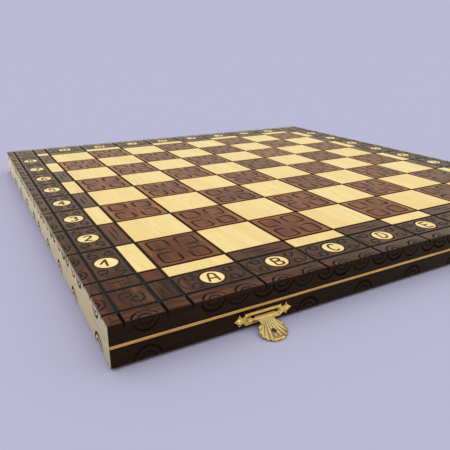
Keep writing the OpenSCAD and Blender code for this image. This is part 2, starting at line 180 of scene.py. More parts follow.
class Shader:
    """The nodes of a material or of the world, with one method that makes every node."""

    def __init__(self, name: str, world: bool = False) -> None:
        """Starts without nodes.

        Args:
            name: Name of the material or the world.
            world: Whether it lights the world.
        """
        self.owner = (bpy.data.worlds if world else bpy.data.materials).new(name)
        self.owner.use_nodes = True
        self.tree = self.owner.node_tree
        self.tree.nodes.clear()

    def node(
        self, kind: str, settings: Mapping[str, Any] | None = None, values: Mapping[Any, Any] | None = None
    ) -> Made:
        """Makes one node.

        Args:
            kind: The node's type.
            settings: The node's own properties, set first; stops are a ramp's places and colours.
            values: What goes into its sockets, by place or name: a number, a colour or a value.

        Returns:
            The made node.
        """
        node = self.tree.nodes.new(kind)
        for key, setting in (settings or {}).items():
            if key == "stops":
                self._set_stops(node.color_ramp, setting)
            else:
                setattr(node, key, setting)
        for key, value in (values or {}).items():
            if isinstance(value, Value):
                self.tree.links.new(value.socket, node.inputs[key])
            elif isinstance(value, tuple) and node.inputs[key].type == "RGBA":
                node.inputs[key].default_value = (*value, 1.0)
            else:
                node.inputs[key].default_value = value
        return Made(self, node)

    @staticmethod
    def _set_stops(ramp: bpy.types.ColorRamp, stops: Sequence[tuple[float, Colour]]) -> None:
        """Gives a ramp its places and colours."""
        while len(ramp.elements) < len(stops):
            ramp.elements.new(0.5)
        for element, (place, colour) in zip(ramp.elements, stops):
            element.position = place
            element.color = (*colour, 1.0)

    def mix(self, first: Any, second: Any, share: Any) -> Value:
        """Blends two colours.

        Args:
            first: Colour at a share of 0.
            second: Colour at a share of 1.
            share: Share of the second colour.

        Returns:
            The blended colour.
        """
        return self.node("ShaderNodeMix", {"data_type": "RGBA"}, {0: share, 6: first, 7: second})[2]

    def place(self) -> Value:
        """Position on the piece at rest, in metres."""
        return self.node("ShaderNodeTexCoord")["Object"]

    def attribute(self, name: str, output: str = "Fac") -> Value:
        """Reads what the mesh stores under that name."""
        return self.node("ShaderNodeAttribute", {"attribute_name": name})[output]

    def noise(self, where: Value, scale: Any, detail: float = 2.0, rough: float = 0.5) -> Value:
        """Soft noise over the surface.

        Args:
            where: Position that the noise is read at.
            scale: Features per metre, one number or one for each axis.
            detail: Octaves.
            rough: Weight of the finer octaves.

        Returns:
            Noise around one half.
        """
        spread = (scale, scale, scale) if isinstance(scale, (int, float)) else scale
        scaled = self.node("ShaderNodeVectorMath", {"operation": "MULTIPLY"}, {0: where, 1: spread})[0]
        values = {"Vector": scaled, "Scale": 1.0, "Detail": detail, "Roughness": rough}
        return self.node("ShaderNodeTexNoise", {}, values)[0]

    def bump(self, height: Value, distance: float, strength: float) -> Value:
        """Turns a height in 0 to 1 into a normal.

        Args:
            height: The height's share.
            distance: Height of a full step, in metres.
            strength: How strongly it shows.

        Returns:
            The bumped normal.
        """
        values = {"Height": height, "Distance": distance, "Strength": strength}
        return self.node("ShaderNodeBump", {}, values)[0]

    def surface(self, values: Mapping[Any, Any]) -> bpy.types.Material:
        """Ends the material with one physical surface.

        Args:
            values: What goes into the surface's sockets.

        Returns:
            The finished material.
        """
        made = self.node("ShaderNodeBsdfPrincipled", {}, values)
        self.node("ShaderNodeOutputMaterial", {}, {"Surface": made["BSDF"]})
        return self.owner


# ---- Finishes ----


MATERIALS: dict[str, bpy.types.Material] = {}


@dataclass(frozen=True)
class Finish:
    """What a piece is made of. Each kind of finish says what its surface gets."""

    name: str

    def sockets(self, shader: Shader) -> dict[str, Any]:
        """What goes into the surface's sockets, by their names."""
        raise NotImplementedError

    def dress(self, piece: bpy.types.Object) -> None:
        """Gives a piece the finish, whose material is made once and shared.

        Args:
            piece: The piece or solid.
        """
        if self.name not in MATERIALS:
            shader = Shader(self.name)
            MATERIALS[self.name] = shader.surface(self.sockets(shader))
        if not piece.material_slots:
            piece.data.materials.append(MATERIALS[self.name])
        for material_slot in piece.material_slots:
            material_slot.material = MATERIALS[self.name]


class Grain(Enum):
    """Direction of the wood's fibres, as features per metre along each axis for a band of 1 metre."""

    ALONG_X = (0.07, 1.0, 1.0)
    ALONG_Y = (1.0, 0.07, 1.0)

    def stretched(self, across: float) -> Colour:
        """Noise scale whose features are that many per metre across the fibres."""
        return tuple(across * share for share in self.value)


@dataclass(frozen=True)
class WoodFinish(Finish):
    """Stained and varnished wood whose carved lines are burnt.

    Its figure, fibres, pores, stain patches and smoke are given in features per metre, and a rim
    is a painted reflection: a warm sheen put into the colour between two distances from the sides
    of a square, in metres.
    """

    deep: Colour
    middle: Colour
    pale: Colour
    flush: Colour
    toast: Colour
    char: Colour
    grain: Grain = Grain.ALONG_Y
    flush_share: float = 0.35
    tone_spread: float = 0.5
    pore_share: float = 0.5
    roughness: float = 0.24
    coat: float = 0.03
    ior: float = 1.3
    side_stain: float = 0.0
    side_coat: float = 0.0
    coat_roughness: float = 0.2
    coat_ior: float = 1.5
    # rim: colour of a painted reflection, a warm amber sheen near the sides of each square
    rim: Colour | None = None
    rim_pitch: float = 0.052
    rim_from: float = 0.003
    rim_to: float = 0.0105
    rim_cloud: float = 42
    figure: float = 95
    fibre: float = 620
    pores: float = 2100
    patches: float = 30
    smoke: float = 900
    relief: float = 0.00012

    def rim_share(self, shader: Shader) -> Value:
        """Share of the painted reflection, a warm amber sheen put into the colour, which is most near the
        sides of a square and uneven.
        """
        way = shader.node("ShaderNodeSeparateXYZ", {}, {0: shader.place()})
        side = way["X"].to_line(self.rim_pitch).least(way["Y"].to_line(self.rim_pitch))
        cloud = shader.noise(shader.place(), self.rim_cloud, 1.0).step(0.3, 0.62)
        return (1 - side.step(self.rim_from, self.rim_to)) * (0.22 + 0.62 * cloud)

    def layers(self, shader: Shader, patch: Value, pores: Value, burn: Value) -> list[tuple[Colour, Value]]:
        """Colours that lie over the bare wood, from below upwards.

        Args:
            shader: The material's nodes.
            patch: Where the stain comes out reddish.
            pores: Where the pores are.
            burn: How burnt the wood is.

        Returns:
            Each colour with its share.
        """
        layers = [(self.flush, self.flush_share * patch)]
        # The rim is painted reflection: a warm amber sheen mixed into the colour near each square's sides.
        if self.rim:
            layers.append((self.rim, self.rim_share(shader)))
        layers.append((self.deep, self.tone_spread * shader.attribute("tone")))
        layers.append((self.deep, self.pore_share * pores))
        if self.side_stain:
            layers.append((self.char, (self.side_stain - 0.12 * patch) * shader.attribute("side")))
        return layers + [(self.toast, (2 * burn).clamp()), (self.char, (2 * burn - 1).clamp())]

    def sockets(self, shader: Shader) -> dict[str, Any]:
        """What goes into the surface's sockets.

        Args:
            shader: The material's nodes.

        Returns:
            The sockets' values, which follow the burn, tone, side and cut stored in the mesh.
        """
        cut = shader.attribute("cut", "Vector")
        place = shader.node("ShaderNodeVectorMath", {"operation": "ADD"}, {0: shader.place(), 1: cut})[0]
        figure = shader.noise(place, self.grain.stretched(self.figure), 3.0, 0.55)
        fibre = shader.noise(place, self.grain.stretched(self.fibre), 2.0, 0.6)
        pores = shader.noise(place, self.grain.stretched(self.pores), 1.0).step(0.57, 0.7)
        patch = shader.noise(place, self.grain.stretched(self.patches), 1.0).step(0.45, 0.75)
        smoke = shader.noise(place, self.smoke, 2.0)
        burn = (shader.attribute("burn") * (0.72 + 0.5 * smoke)).clamp()
        stops = [(0.36, self.deep), (0.5, self.middle), (0.64, self.pale)]
        wood = shader.node("ShaderNodeValToRGB", {"stops": stops}, {0: 0.45 * figure + 0.55 * fibre})[0]
        for colour, share in self.layers(shader, patch, pores, burn):
            wood = shader.mix(wood, colour, share)
        height = 0.7 * fibre + 0.3 * (1 - pores) + 0.5 * burn * smoke
        return {
            "Base Color": wood,
            "Roughness": self.roughness + 0.1 * fibre + 0.5 * burn,
            "IOR": self.ior,
            "Coat Weight": (self.coat + self.side_coat * shader.attribute("side")) * (1 - burn),
            "Coat Roughness": self.coat_roughness,
            "Coat IOR": self.coat_ior,
            "Normal": shader.bump(height, self.relief, 0.6),
        }


@dataclass(frozen=True)
class PlywoodFinish(Finish):
    """Raw plywood whose upper face, where the milled lines run, is burnt."""

    wood: Colour
    deep: Colour
    char: Colour

    def sockets(self, shader: Shader) -> dict[str, Any]:
        """What goes into the surface's sockets.

        Args:
            shader: The material's nodes.

        Returns:
            The sockets' values.
        """
        place = shader.place()
        figure = shader.noise(place, Grain.ALONG_X.stretched(160), 3.0, 0.6)
        layers = shader.noise(place, (3.0, 3.0, 1900.0), 0.0).step(0.42, 0.58)
        facing = shader.node("ShaderNodeTexCoord")["Normal"]
        up = shader.node("ShaderNodeSeparateXYZ", {}, {0: facing})["Z"]
        side = (1 - up * up).clamp()
        wood = shader.mix(self.wood, self.deep, 0.55 * figure + 0.35 * layers * side)
        smoke = shader.noise(place, 300, 2.0)
        burn = up.step(0.4, 0.6) * (0.9 + 0.2 * smoke)
        return {
            "Base Color": shader.mix(wood, self.char, burn.clamp()),
            "Roughness": 0.75 + 0.1 * smoke,
            "Specular IOR Level": 0.12,
            "Normal": shader.bump(figure, 0.0002, 0.4),
        }


@dataclass(frozen=True)
class MetalFinish(Finish):
    """Pressed or drawn metal, brighter where it is rubbed and darker in its hollows."""

    bright: Colour
    dull: Colour
    tarnish: Colour
    roughness: float
    blur: float

    def sockets(self, shader: Shader) -> dict[str, Any]:
        """What goes into the surface's sockets.

        Args:
            shader: The material's nodes.

        Returns:
            The sockets' values, which follow the burn stored in the mesh as tarnish.
        """
        place = shader.place()
        cloud = shader.noise(place, 170, 3.0, 0.6)
        scratch = shader.noise(place, (2600.0, 160.0, 900.0), 2.0)
        colour = shader.mix(self.bright, self.dull, cloud.step(0.35, 0.7))
        hollow = (shader.attribute("burn") * (0.75 + 0.5 * cloud)).clamp()
        return {
            "Base Color": shader.mix(colour, self.tarnish, hollow),
            "Metallic": 1.0,
            "Roughness": self.roughness + self.blur * cloud + 0.15 * hollow,
            "Normal": shader.bump(0.5 * cloud + 0.5 * scratch, 0.00006, 0.35),
        }


@dataclass(frozen=True)
class FeltFinish(Finish):
    """Short matted wool fibres."""

    deep: Colour
    pale: Colour

    def sockets(self, shader: Shader) -> dict[str, Any]:
        """What goes into the surface's sockets.

        Args:
            shader: The material's nodes.

        Returns:
            The sockets' values.
        """
        place = shader.place()
        lint = shader.noise(place, 2400, 3.0, 0.7)
        nap = shader.noise(place, (240.0, 700.0, 240.0), 3.0, 0.6)
        return {
            "Base Color": shader.mix(self.deep, self.pale, (0.55 * lint + 0.45 * nap).step(0.35, 0.68)),
            "Roughness": 0.92 + 0.08 * lint,
            "Sheen Weight": 0.35,
            "Sheen Roughness": 0.5,
            "Normal": shader.bump(0.6 * lint + 0.4 * nap, 0.0004, 0.8),
        }


CHAR = srgb(31, 33, 30)
BORDER_WOOD = WoodFinish(
    "border_wood", srgb(41, 20, 13), srgb(73, 39, 25), srgb(115, 69, 42), srgb(108, 39, 18),
    srgb(42, 29, 23), CHAR, flush_share=0.6, ior=1.38,
)
# DARK_WOOD's rim colour is a painted reflection: a warm amber sheen near the sides of each dark square.
DARK_WOOD = WoodFinish(
    "dark_wood", srgb(62, 22, 10), srgb(108, 52, 25), srgb(158, 94, 50), srgb(135, 44, 14),
    srgb(62, 32, 22), srgb(40, 25, 22), rim=srgb(172, 104, 44),
)
LIGHT_WOOD = WoodFinish(
    "light_wood", srgb(231, 202, 130), srgb(236, 210, 141), srgb(242, 221, 158), srgb(224, 190, 116),
    srgb(172, 118, 62), srgb(74, 42, 24), flush_share=0.5, tone_spread=0.3, pore_share=0.13,
)
DISC_WOOD = WoodFinish(
    "disc_wood", srgb(226, 196, 124), srgb(240, 219, 153), srgb(246, 229, 173), srgb(234, 205, 133),
    srgb(140, 88, 44), srgb(66, 36, 20), flush_share=0.3, tone_spread=0.2, pore_share=0.2,
)
RAIL_WOOD = dict(
    deep=srgb(38, 18, 13), middle=srgb(70, 39, 26), pale=srgb(112, 68, 42), flush=srgb(107, 40, 20),
    toast=srgb(40, 26, 21), char=srgb(15, 9, 10), roughness=0.24,
)
END_RAIL_WOOD = WoodFinish(
    "end_rail_wood", grain=Grain.ALONG_X, ior=1.14, coat=0.7, side_coat=-0.7, side_stain=0.9, **RAIL_WOOD
)
SIDE_RAIL_WOOD = WoodFinish(
    "side_rail_wood", ior=1.38, coat=0.0, side_coat=1.0, coat_roughness=0.32, coat_ior=1.42,
    side_stain=0.4, **RAIL_WOOD
)
LINE_WOOD = WoodFinish(
    "line_wood", srgb(150, 108, 58), srgb(184, 142, 84), srgb(204, 166, 106), srgb(172, 122, 64),
    srgb(120, 80, 40), srgb(70, 44, 24), grain=Grain.ALONG_X,
)
CRADLE_WOOD = WoodFinish(
    "cradle_wood", srgb(186, 146, 96), srgb(208, 172, 122), srgb(222, 190, 142), srgb(200, 158, 104),
    srgb(120, 80, 40), srgb(70, 44, 24), grain=Grain.ALONG_X, roughness=0.6, coat=0.0,
)
PLYWOOD = PlywoodFinish("panel_plywood", srgb(196, 160, 112), srgb(160, 120, 78), srgb(35, 42, 37))
BRASS = MetalFinish(
    "polished_brass", srgb(240, 217, 152), srgb(228, 200, 128), srgb(140, 102, 52), 0.3, 0.14
)
HINGE_BRASS = MetalFinish(
    "hinge_brass", srgb(236, 204, 128), srgb(214, 176, 98), srgb(110, 80, 44), 0.28, 0.14
)
STEEL = MetalFinish("pin_steel", srgb(200, 200, 198), srgb(176, 176, 174), srgb(90, 88, 86), 0.26, 0.12)
FELT = FeltFinish("green_felt", srgb(18, 62, 40), srgb(40, 98, 66))


# ---- Lines on a sheet ----


def arc(centre: Pair, radius: float | Pair, start: float, end: float, count: int) -> Path:
    """Points along an arc of a circle or an upright ellipse.

    Args:
        centre: Middle of the arc.
        radius: Radius, or one for each axis.
        start: First angle in degrees.
        end: Last angle in degrees.
        count: Number of points.

    Returns:
        The points in order.
    """
    across, up = radius if isinstance(radius, tuple) else (radius, radius)
    turns = [math.radians(start + (end - start) * k / (count - 1)) for k in range(count)]
    return [(centre[0] + across * math.cos(t), centre[1] + up * math.sin(t)) for t in turns]


def volute(centre: Pair, wide: float, tight: float, start: float, end: float, count: int) -> Path:
    """Points along a spiral that winds into its eye.

    Args:
        centre: Middle of the eye.
        wide: Radius at the start.
        tight: Radius at the end.
        start: First angle in degrees.
        end: Last angle in degrees.
        count: Number of points.

    Returns:
        The points in order.
    """
    path = []
    for k in range(count):
        share = k / (count - 1)
        turn = math.radians(start + (end - start) * share)
        radius = wide + (tight - wide) * share ** 0.8
        path.append((centre[0] + radius * math.cos(turn), centre[1] + radius * math.sin(turn)))
    return path


@dataclass(frozen=True)
class Spot:
    """Where and how a motif is put down: a size, a mirroring, a turn in degrees and a move."""

    x: float = 0.0
    y: float = 0.0
    turn: float = 0.0
    flip: bool = False
    size: float = 1.0

    def apply(self, path: Iterable[Pair]) -> Path:
        """Puts the points of a path down at the spot."""
        cos, sin = math.cos(math.radians(self.turn)), math.sin(math.radians(self.turn))
        placed = []
        for x, y in path:
            x, y = (-x if self.flip else x) * self.size, y * self.size
            placed.append((self.x + x * cos - y * sin, self.y + x * sin + y * cos))
        return placed


@dataclass(frozen=True)
class Stroke:
    """One burnt or pressed line.

    Its ends narrow to thin times its width, flat is the share of its width that is the floor
    of the cut, ink is how dark it is burnt and vary how much its width swells and shrinks.
    """

    path: Path
    width: float
    depth: float
    ink: float = 1.0
    thin: float = 0.3
    flat: float = 0.0
    vary: float = 0.0

    def at(self, spot: Spot) -> "Stroke":
        """The same stroke put down at a spot."""
        return replace(self, path=spot.apply(self.path), width=self.width * spot.size)

    def points(self) -> np.ndarray:
        """The middle line as an array."""
        return np.array(self.path, float)

    def halves(self) -> np.ndarray:
        """Half the width at each point of the middle line."""
        share = np.linspace(0, 1, len(self.path))
        swell = np.sin(math.pi * share) ** 0.5 if self.thin < 1 else 1.0
        phase = 5 * self.ink + 3 * self.width
        swell = self.thin + (1 - self.thin) * swell - self.vary * (0.5 + 0.5 * np.sin(phase + 9 * share))
        return self.width / 2 * swell * np.ones(len(share))

    def sides(self, spread: float, share: float = 1.0) -> np.ndarray:
        """Closed outline round the middle line.

        Args:
            spread: Distance added outside the stroke's own edge.
            share: Share of the half width that the outline keeps.

        Returns:
            The outline's points.
        """
        line = self.points()
        ahead = np.gradient(line, axis=0)
        ahead /= np.maximum(np.linalg.norm(ahead, axis=1), TINY)[:, None]
        normal = np.stack([-ahead[:, 1], ahead[:, 0]], 1)
        reach = (self.halves() * share + spread)[:, None]
        tips = [line[0] - ahead[0] * reach[0], line[-1] + ahead[-1] * reach[-1]]
        left, right = line + normal * reach, line - normal * reach
        return np.vstack([tips[0][None], left, tips[1][None], right[::-1]])


@dataclass
class Sheet:
    """A triangulated sheet: its points, their depth and burn, and the triangles."""

    points: np.ndarray
    depth: np.ndarray
    burn: np.ndarray
    triangles: np.ndarray


def offset_loop(loop: np.ndarray, distance: float) -> np.ndarray:
    """Moves a closed loop to its right, which is outwards where it runs anticlockwise.

    Args:
        loop: The loop's points.
        distance: How far it moves.

    Returns:
        The moved points, with mitred corners.
    """
    before, after = loop - np.roll(loop, 1, 0), np.roll(loop, -1, 0) - loop
    normals = []
    for step in (before, after):
        step = step / np.maximum(np.linalg.norm(step, axis=1), TINY)[:, None]
        normals.append(np.stack([step[:, 1], -step[:, 0]], 1))
    mitre = normals[0] + normals[1]
    mitre /= np.maximum((mitre * normals[0]).sum(1), 0.3)[:, None]
    return loop + mitre * distance


def boundary_loops(triangles: np.ndarray) -> list[list[int]]:
    """Finds the loops round the edge of a sheet.

    Args:
        triangles: The sheet's triangles.

    Returns:
        Each loop's points in order, with the sheet on the left.
    """
    edges = {(int(t[k]), int(t[(k + 1) % 3])) for t in triangles for k in range(3)}
    following = {a: b for a, b in edges if (b, a) not in edges}
    loops = []
    while following:
        start, point = following.popitem()
        loop = [start]
        while point != start and point in following:
            loop.append(point)
            point = following.pop(point)
        loops.append(loop)
    return loops


@dataclass
class Engraving:
    """Strokes pressed into a flat sheet, which is triangulated along their edges and middles.

    The outline runs anticlockwise and the edges of the holes clockwise. Along them lies a scorched
    band as wide as fade, whose edge is as dark as edge_ink. The triangles keep to the open lines and
    pass through the spread of loose points. Burnt strokes are toasted as far out as the halo.
    """

    outline: Path
    strokes: Sequence[Stroke]
    holes: Sequence[Path] = ()
    fade: float = 0.0
    edge_ink: float = 0.0
    lines: Sequence[Path] = ()
    spread: Sequence[Pair] = ()
    halo: float = 0.35

    def __post_init__(self) -> None:
        """Turns the sheet's edges into arrays."""
        self.loops = [np.array(edge, float) for edge in (self.outline, *self.holes)]

    def build(self) -> Sheet:
        """Triangulates the sheet.

        Returns:
            The sheet with the depth and burn of each point.
        """
        points: list[Sequence[float]] = []
        edges: list[tuple[int, int]] = []

        def keep(path: Iterable[Sequence[float]], closed: bool) -> None:
            """Adds a line to the triangulation."""
            first = len(points)
            points.extend(path)
            edges.extend((k, k + 1) for k in range(first, len(points) - 1))
            if closed:
                edges.append((len(points) - 1, first))

        for loop in self.loops:
            keep(loop, True)
        for loop in self.loops:
            if self.fade:
                keep(offset_loop(loop, -self.fade), True)
        for line in self.lines:
            keep(line, False)
        for stroke in self.strokes:
            keep(stroke.path, False)
            keep(stroke.sides(0), True)
            keep(stroke.sides(self.halo), True)
            if stroke.flat:
                keep(stroke.sides(0, stroke.flat), True)
        points.extend(self.spread)
        flat, triangles, _ = triangulate(points, edges, self.loops)
        used, triangles = np.unique(triangles, return_inverse=True)
        return Sheet(flat[used], *self.press(flat[used]), triangles.reshape(-1, 3))

    def press(self, points: np.ndarray) -> tuple[np.ndarray, np.ndarray]:
        """Works out how deep and how burnt the sheet is at some points.

        Args:
            points: Points on the sheet.

        Returns:
            The depth and the burn of each point.
        """
        depth, burn = np.zeros(len(points)), np.zeros(len(points))
        if self.fade:
            gap = distance_to_loops(points, self.loops)
            burn = self.edge_ink * np.clip(1 - gap / self.fade, 0, 1)
        for stroke in self.strokes:
            line, halves = stroke.points(), stroke.halves()
            reach = halves.max() + self.halo + TINY
            close = (points >= line.min(0) - reach) & (points <= line.max(0) + reach)
            near = np.flatnonzero(close.all(1))
            if not len(near):
                continue
            gap, segment, along = distance_to_path(points[near], line)
            half = halves[segment] * (1 - along) + halves[segment + 1] * along
            floor = np.clip((1 - gap / half) / (1 - stroke.flat), 0, 1)
            depth[near] = np.maximum(depth[near], stroke.depth * floor * half / halves.max())
            press = 1 - stroke.vary * (1 - half / halves.max())
            shade = stroke.ink * press * np.clip(1 - (gap - half) / self.halo, 0, 1)
            burn[near] = np.maximum(burn[near], shade)
        return depth, burn


def distance_to_path(points: np.ndarray, line: np.ndarray) -> tuple[np.ndarray, np.ndarray, np.ndarray]:
    """Distance from points to a line of segments.

    Args:
        points: The points.
        line: The line's corners.

    Returns:
        The distance, the nearest segment, and how far along it the nearest place is.
    """
    start, step = line[:-1][None], (line[1:] - line[:-1])[None]
    away = points[:, None] - start
    along = np.clip((away * step).sum(2) / np.maximum((step ** 2).sum(2), TINY), 0, 1)
    gap = np.linalg.norm(away - along[..., None] * step, axis=2)
    nearest = gap.argmin(1)
    row = np.arange(len(points))
    return gap[row, nearest], nearest, along[row, nearest]


def distance_to_loops(points: np.ndarray, loops: Iterable[np.ndarray]) -> np.ndarray:
    """Distance from points to the nearest of some closed loops."""
    return np.min([distance_to_path(points, np.vstack([loop, loop[:1]]))[0] for loop in loops], 0)


def inside_loop(points: np.ndarray, loop: np.ndarray) -> np.ndarray:
    """Tells which points lie inside a closed loop."""
    inside = np.zeros(len(points), bool)
    for (ax, ay), (bx, by) in zip(loop, np.roll(loop, -1, 0)):
        crosses = (ay > points[:, 1]) != (by > points[:, 1])
        if abs(by - ay) > 0:
            inside ^= crosses & (points[:, 0] < ax + (bx - ax) * (points[:, 1] - ay) / (by - ay))
    return inside


def triangulate(points: Sequence[Any], edges: list[tuple[int, int]], loops: Sequence[np.ndarray]) -> tuple:
    """Triangulates a plan.

    Args:
        points: Its points.
        edges: Pairs of points that the triangles keep to.
        loops: Its outline and the edges of its holes.

    Returns:
        The points, the triangles anticlockwise, and the numbers of the given points that each came from.
    """
    made = delaunay_2d_cdt([Vector((p[0], p[1])) for p in points], edges, [], 1, TINY)
    flat = np.array([(v.x, v.y) for v in made[0]])
    triangles = np.array([list(face) for face in made[2]], int)
    middle = flat[triangles].mean(1)
    solid = np.zeros(len(middle), bool)
    for loop in loops:
        solid ^= inside_loop(middle, loop)
    ends = flat[triangles]
    if np.cross(ends[:, 1] - ends[:, 0], ends[:, 2] - ends[:, 0]).sum() < 0:
        triangles = triangles[:, ::-1]
    return flat, triangles[solid], made[3]


# ---- Meshes ----


@dataclass
class Carving:
    """Gathers the solids of one piece, then makes its object."""

    name: str
    points: list[np.ndarray] = field(default_factory=list)
    faces: list[list[int]] = field(default_factory=list)
    cuts: list[np.ndarray] = field(default_factory=list)
    marks: dict[str, list] = field(default_factory=lambda: {"burn": [], "tone": [], "side": []})
    count: int = 0

    def add(
        self, points: np.ndarray, faces: Iterable[Sequence[int]], burn: np.ndarray, tone: float = 0.0,
        cut: Colour = (0.0, 0.0, 0.0), side: np.ndarray | None = None
    ) -> None:
        """Adds one solid.

        Args:
            points: Its points in millimetres.
            faces: Its faces, by the points' numbers.
            burn: How burnt each point is.
            tone: How dark the solid's wood is.
            cut: Where in the wood it was cut, in metres.
            side: How much each point belongs to an outer side.
        """
        self.points.append(points)
        self.faces.extend([int(k) + self.count for k in face] for face in faces)
        self.marks["burn"].append(burn)
        self.marks["tone"].append(np.full(len(points), tone))
        self.marks["side"].append(np.zeros(len(points)) if side is None else side)
        self.cuts.append(np.tile(cut, (len(points), 1)))
        self.count += len(points)

    def mesh(self) -> bpy.types.Mesh:
        """Makes the mesh with its attributes.

        Returns:
            The mesh in metres.
        """
        mesh = bpy.data.meshes.new(self.name)
        mesh.from_pydata((np.vstack(self.points) * MM).tolist(), [], self.faces)
        for key, parts in self.marks.items():
            mesh.attributes.new(key, "FLOAT", "POINT").data.foreach_set("value", np.concatenate(parts))
        cut = mesh.attributes.new("cut", "FLOAT_VECTOR", "POINT")
        cut.data.foreach_set("vector", np.vstack(self.cuts).ravel())
        mesh.validate()
        return mesh

    def build(
        self, finish: Finish, body: str, slot: str, *nodes: str, sharp: float = SHARP_WOOD,
        trim: Callable[[bpy.types.Mesh], None] | None = None
    ) -> bpy.types.Object:
        """Makes the piece, dresses it and puts it on its body.

        Args:
            finish: The finish that dresses it.
            body: The body it rides on.
            slot: Not used.
            nodes: The solids it stands for.
            sharp: Angle in degrees from which an edge stays sharp.
            trim: What cuts the mesh before it is used.

        Returns:
            The piece.
        """
        mesh = self.mesh()
        if trim:
            trim(mesh)
        piece = bpy.data.objects.new(self.name, mesh)
        bpy.context.scene.collection.objects.link(piece)
        mesh.polygons.foreach_set("use_smooth", [True] * len(mesh.polygons))
        mesh.set_sharp_from_angle(angle=math.radians(sharp))
        finish.dress(piece)
        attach(piece, body)
        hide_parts(*nodes)
        LOG.info("%s: %d faces on %s", self.name, len(mesh.polygons), body)
        return piece


def block_from_sheet(sheet: Sheet, top: float, bottom: float, chamfer: float) -> tuple:
    """Closes a sheet downwards into a block with a chamfered upper edge.

    Args:
        sheet: The sheet, seen from above.
        top: Height of its surface.
        bottom: Height of the block's underside.
        chamfer: Width of the chamfer, which lies outside the sheet.

    Returns:
        The block's points, faces and burn.
    """
    points = [np.column_stack([sheet.points, top - sheet.depth])]
    faces = sheet.triangles.tolist()
    burn = [sheet.burn]
    count = len(sheet.points)
    under: list[np.ndarray] = []
    edges: list[tuple[int, int]] = []
    numbers: list[int] = []
    loops: list[np.ndarray] = []
    for loop in boundary_loops(sheet.triangles):
        size, first = len(loop), len(under)
        wide = offset_loop(sheet.points[loop], chamfer)
        rims = [loop]
        for height in (top - chamfer, bottom):
            points.append(np.column_stack([wide, np.full(size, height)]))
            burn.append(np.ones(size))
            rims.append(list(range(count, count + size)))
            count += size
        for upper, lower in zip(rims, rims[1:]):
            for a, b, c, d in zip(upper, upper[1:] + upper[:1], lower, lower[1:] + lower[:1]):
                faces.append([b, a, c, d])
        edges.extend((first + k, first + (k + 1) % size) for k in range(size))
        under.extend(wide)
        numbers.extend(rims[-1])
        loops.append(wide)
    _, triangles, origins = triangulate(under, edges, loops)
    faces.extend([numbers[origins[k][0]] for k in face[::-1]] for face in triangles)
    return np.vstack(points), faces, np.concatenate(burn)


# ---- The board's sizes ----


def box_mm(node: str) -> tuple[Vector, Vector]:
    """Lowest and highest corner of a solid, in millimetres."""
    low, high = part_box(node)
    return low / MM, high / MM


class Half(Enum):
    """The two halves of the box, each with the body it rides on."""

    NEAR = "near"
    FAR = "far"

    @property
    def body(self) -> str:
        """Body of this half."""
        return f"{self.value}_half"

    def node(self, name: str) -> str:
        """Name of this half's solid of that kind."""
        return f"{self.value}_{name}"


@dataclass(frozen=True)
class Layout:
    """Sizes of the board in millimetres, read from its solids."""

    square: float
    groove: float
    mark_in: float
    mark_out: float
    half_width: float
    half_depth: float
    top: float
    veneer_floor: float
    panel_floor: float
    side_full: float
    end_full: float
    line_low: float
    line_high: float
    fold_gap: float
    disc_radius: float
    ring: float = 0.3

    @classmethod
    def from_frame(cls) -> "Layout":
        """Reads the sizes.

        Returns:
            The board's sizes.
        """
        disc_low, disc_high = box_mm("near_letter_discs")
        tile_low, tile_high = box_mm("near_letter_tiles")
        rail_low, rail_high = box_mm("near_front_rail")
        side_low, side_high = box_mm("near_left_rail")
        panel_low, panel_high = box_mm("near_panel")
        line_low, line_high = box_mm("near_pale_line")
        disc = disc_high.y - disc_low.y
        square = (disc_high.x - disc_low.x - disc) / 7
        groove = 8 * square - (tile_high.x - tile_low.x)
        return cls(
            square=square,
            groove=groove,
            mark_in=-tile_high.y - groove / 2,
            mark_out=-tile_low.y + groove / 2,
            half_width=rail_high.x,
            half_depth=-rail_low.y,
            top=rail_high.z,
            veneer_floor=panel_high.z,
            panel_floor=panel_low.z,
            side_full=side_high.x - side_low.x,
            end_full=rail_high.y - rail_low.y,
            line_low=line_low.z,
            line_high=line_high.z,
            fold_gap=box_mm("far_left_rail")[0].y,
            disc_radius=disc / 2,
        )

    @property
    def lines(self) -> list[float]:
        """Middles of the milled lines, from left to right; the first seven also run from front to fold."""
        inner = [k * self.square for k in range(-4, 5)]
        return [-self.mark_out, -self.mark_in, *inner, self.mark_in, self.mark_out]

    @property
    def strip(self) -> float:
        """Free width of the strip that carries letters and numbers."""
        return self.mark_out - self.mark_in - self.groove

    @property
    def half_square(self) -> float:
        """Width of the half squares round the playing field."""
        return self.mark_in - 4 * self.square

    @property
    def end_top(self) -> float:
        """Width of the top of the front or back rail."""
        return self.half_depth - self.mark_out - self.groove / 2

    @property
    def side_top(self) -> float:
        """Width of the top of a side rail."""
        return self.half_width - self.mark_out - self.groove / 2

    def flipped(self, y: float, half: Half) -> float:
        """Puts a depth that is given for the near half onto that half."""
        return self.fold_gap - y if half is Half.FAR else y

    def cell(self, i: int, j: int, half: Half) -> tuple[float, float, float, float]:
        """Bounds of one veneer field.

        Args:
            i: Its column, with the marked strips as 0 and 11.
            j: Its row, counted from the outer end of the half.
            half: The half it is on.

        Returns:
            Its left, near, right and far side.
        """
        edge = self.groove / 2
        bounds = (self.flipped(self.lines[j] + edge, half), self.flipped(self.lines[j + 1] - edge, half))
        return self.lines[i] + edge, min(bounds), self.lines[i + 1] - edge, max(bounds)

    @staticmethod
    def is_dark(i: int, j: int, half: Half) -> bool:
        """Tells whether that square or half square is dark."""
        rank = j - 1 if half is Half.NEAR else 10 - j
        return (i - 1 + rank) % 2 == 0


# ---- Ornaments ----


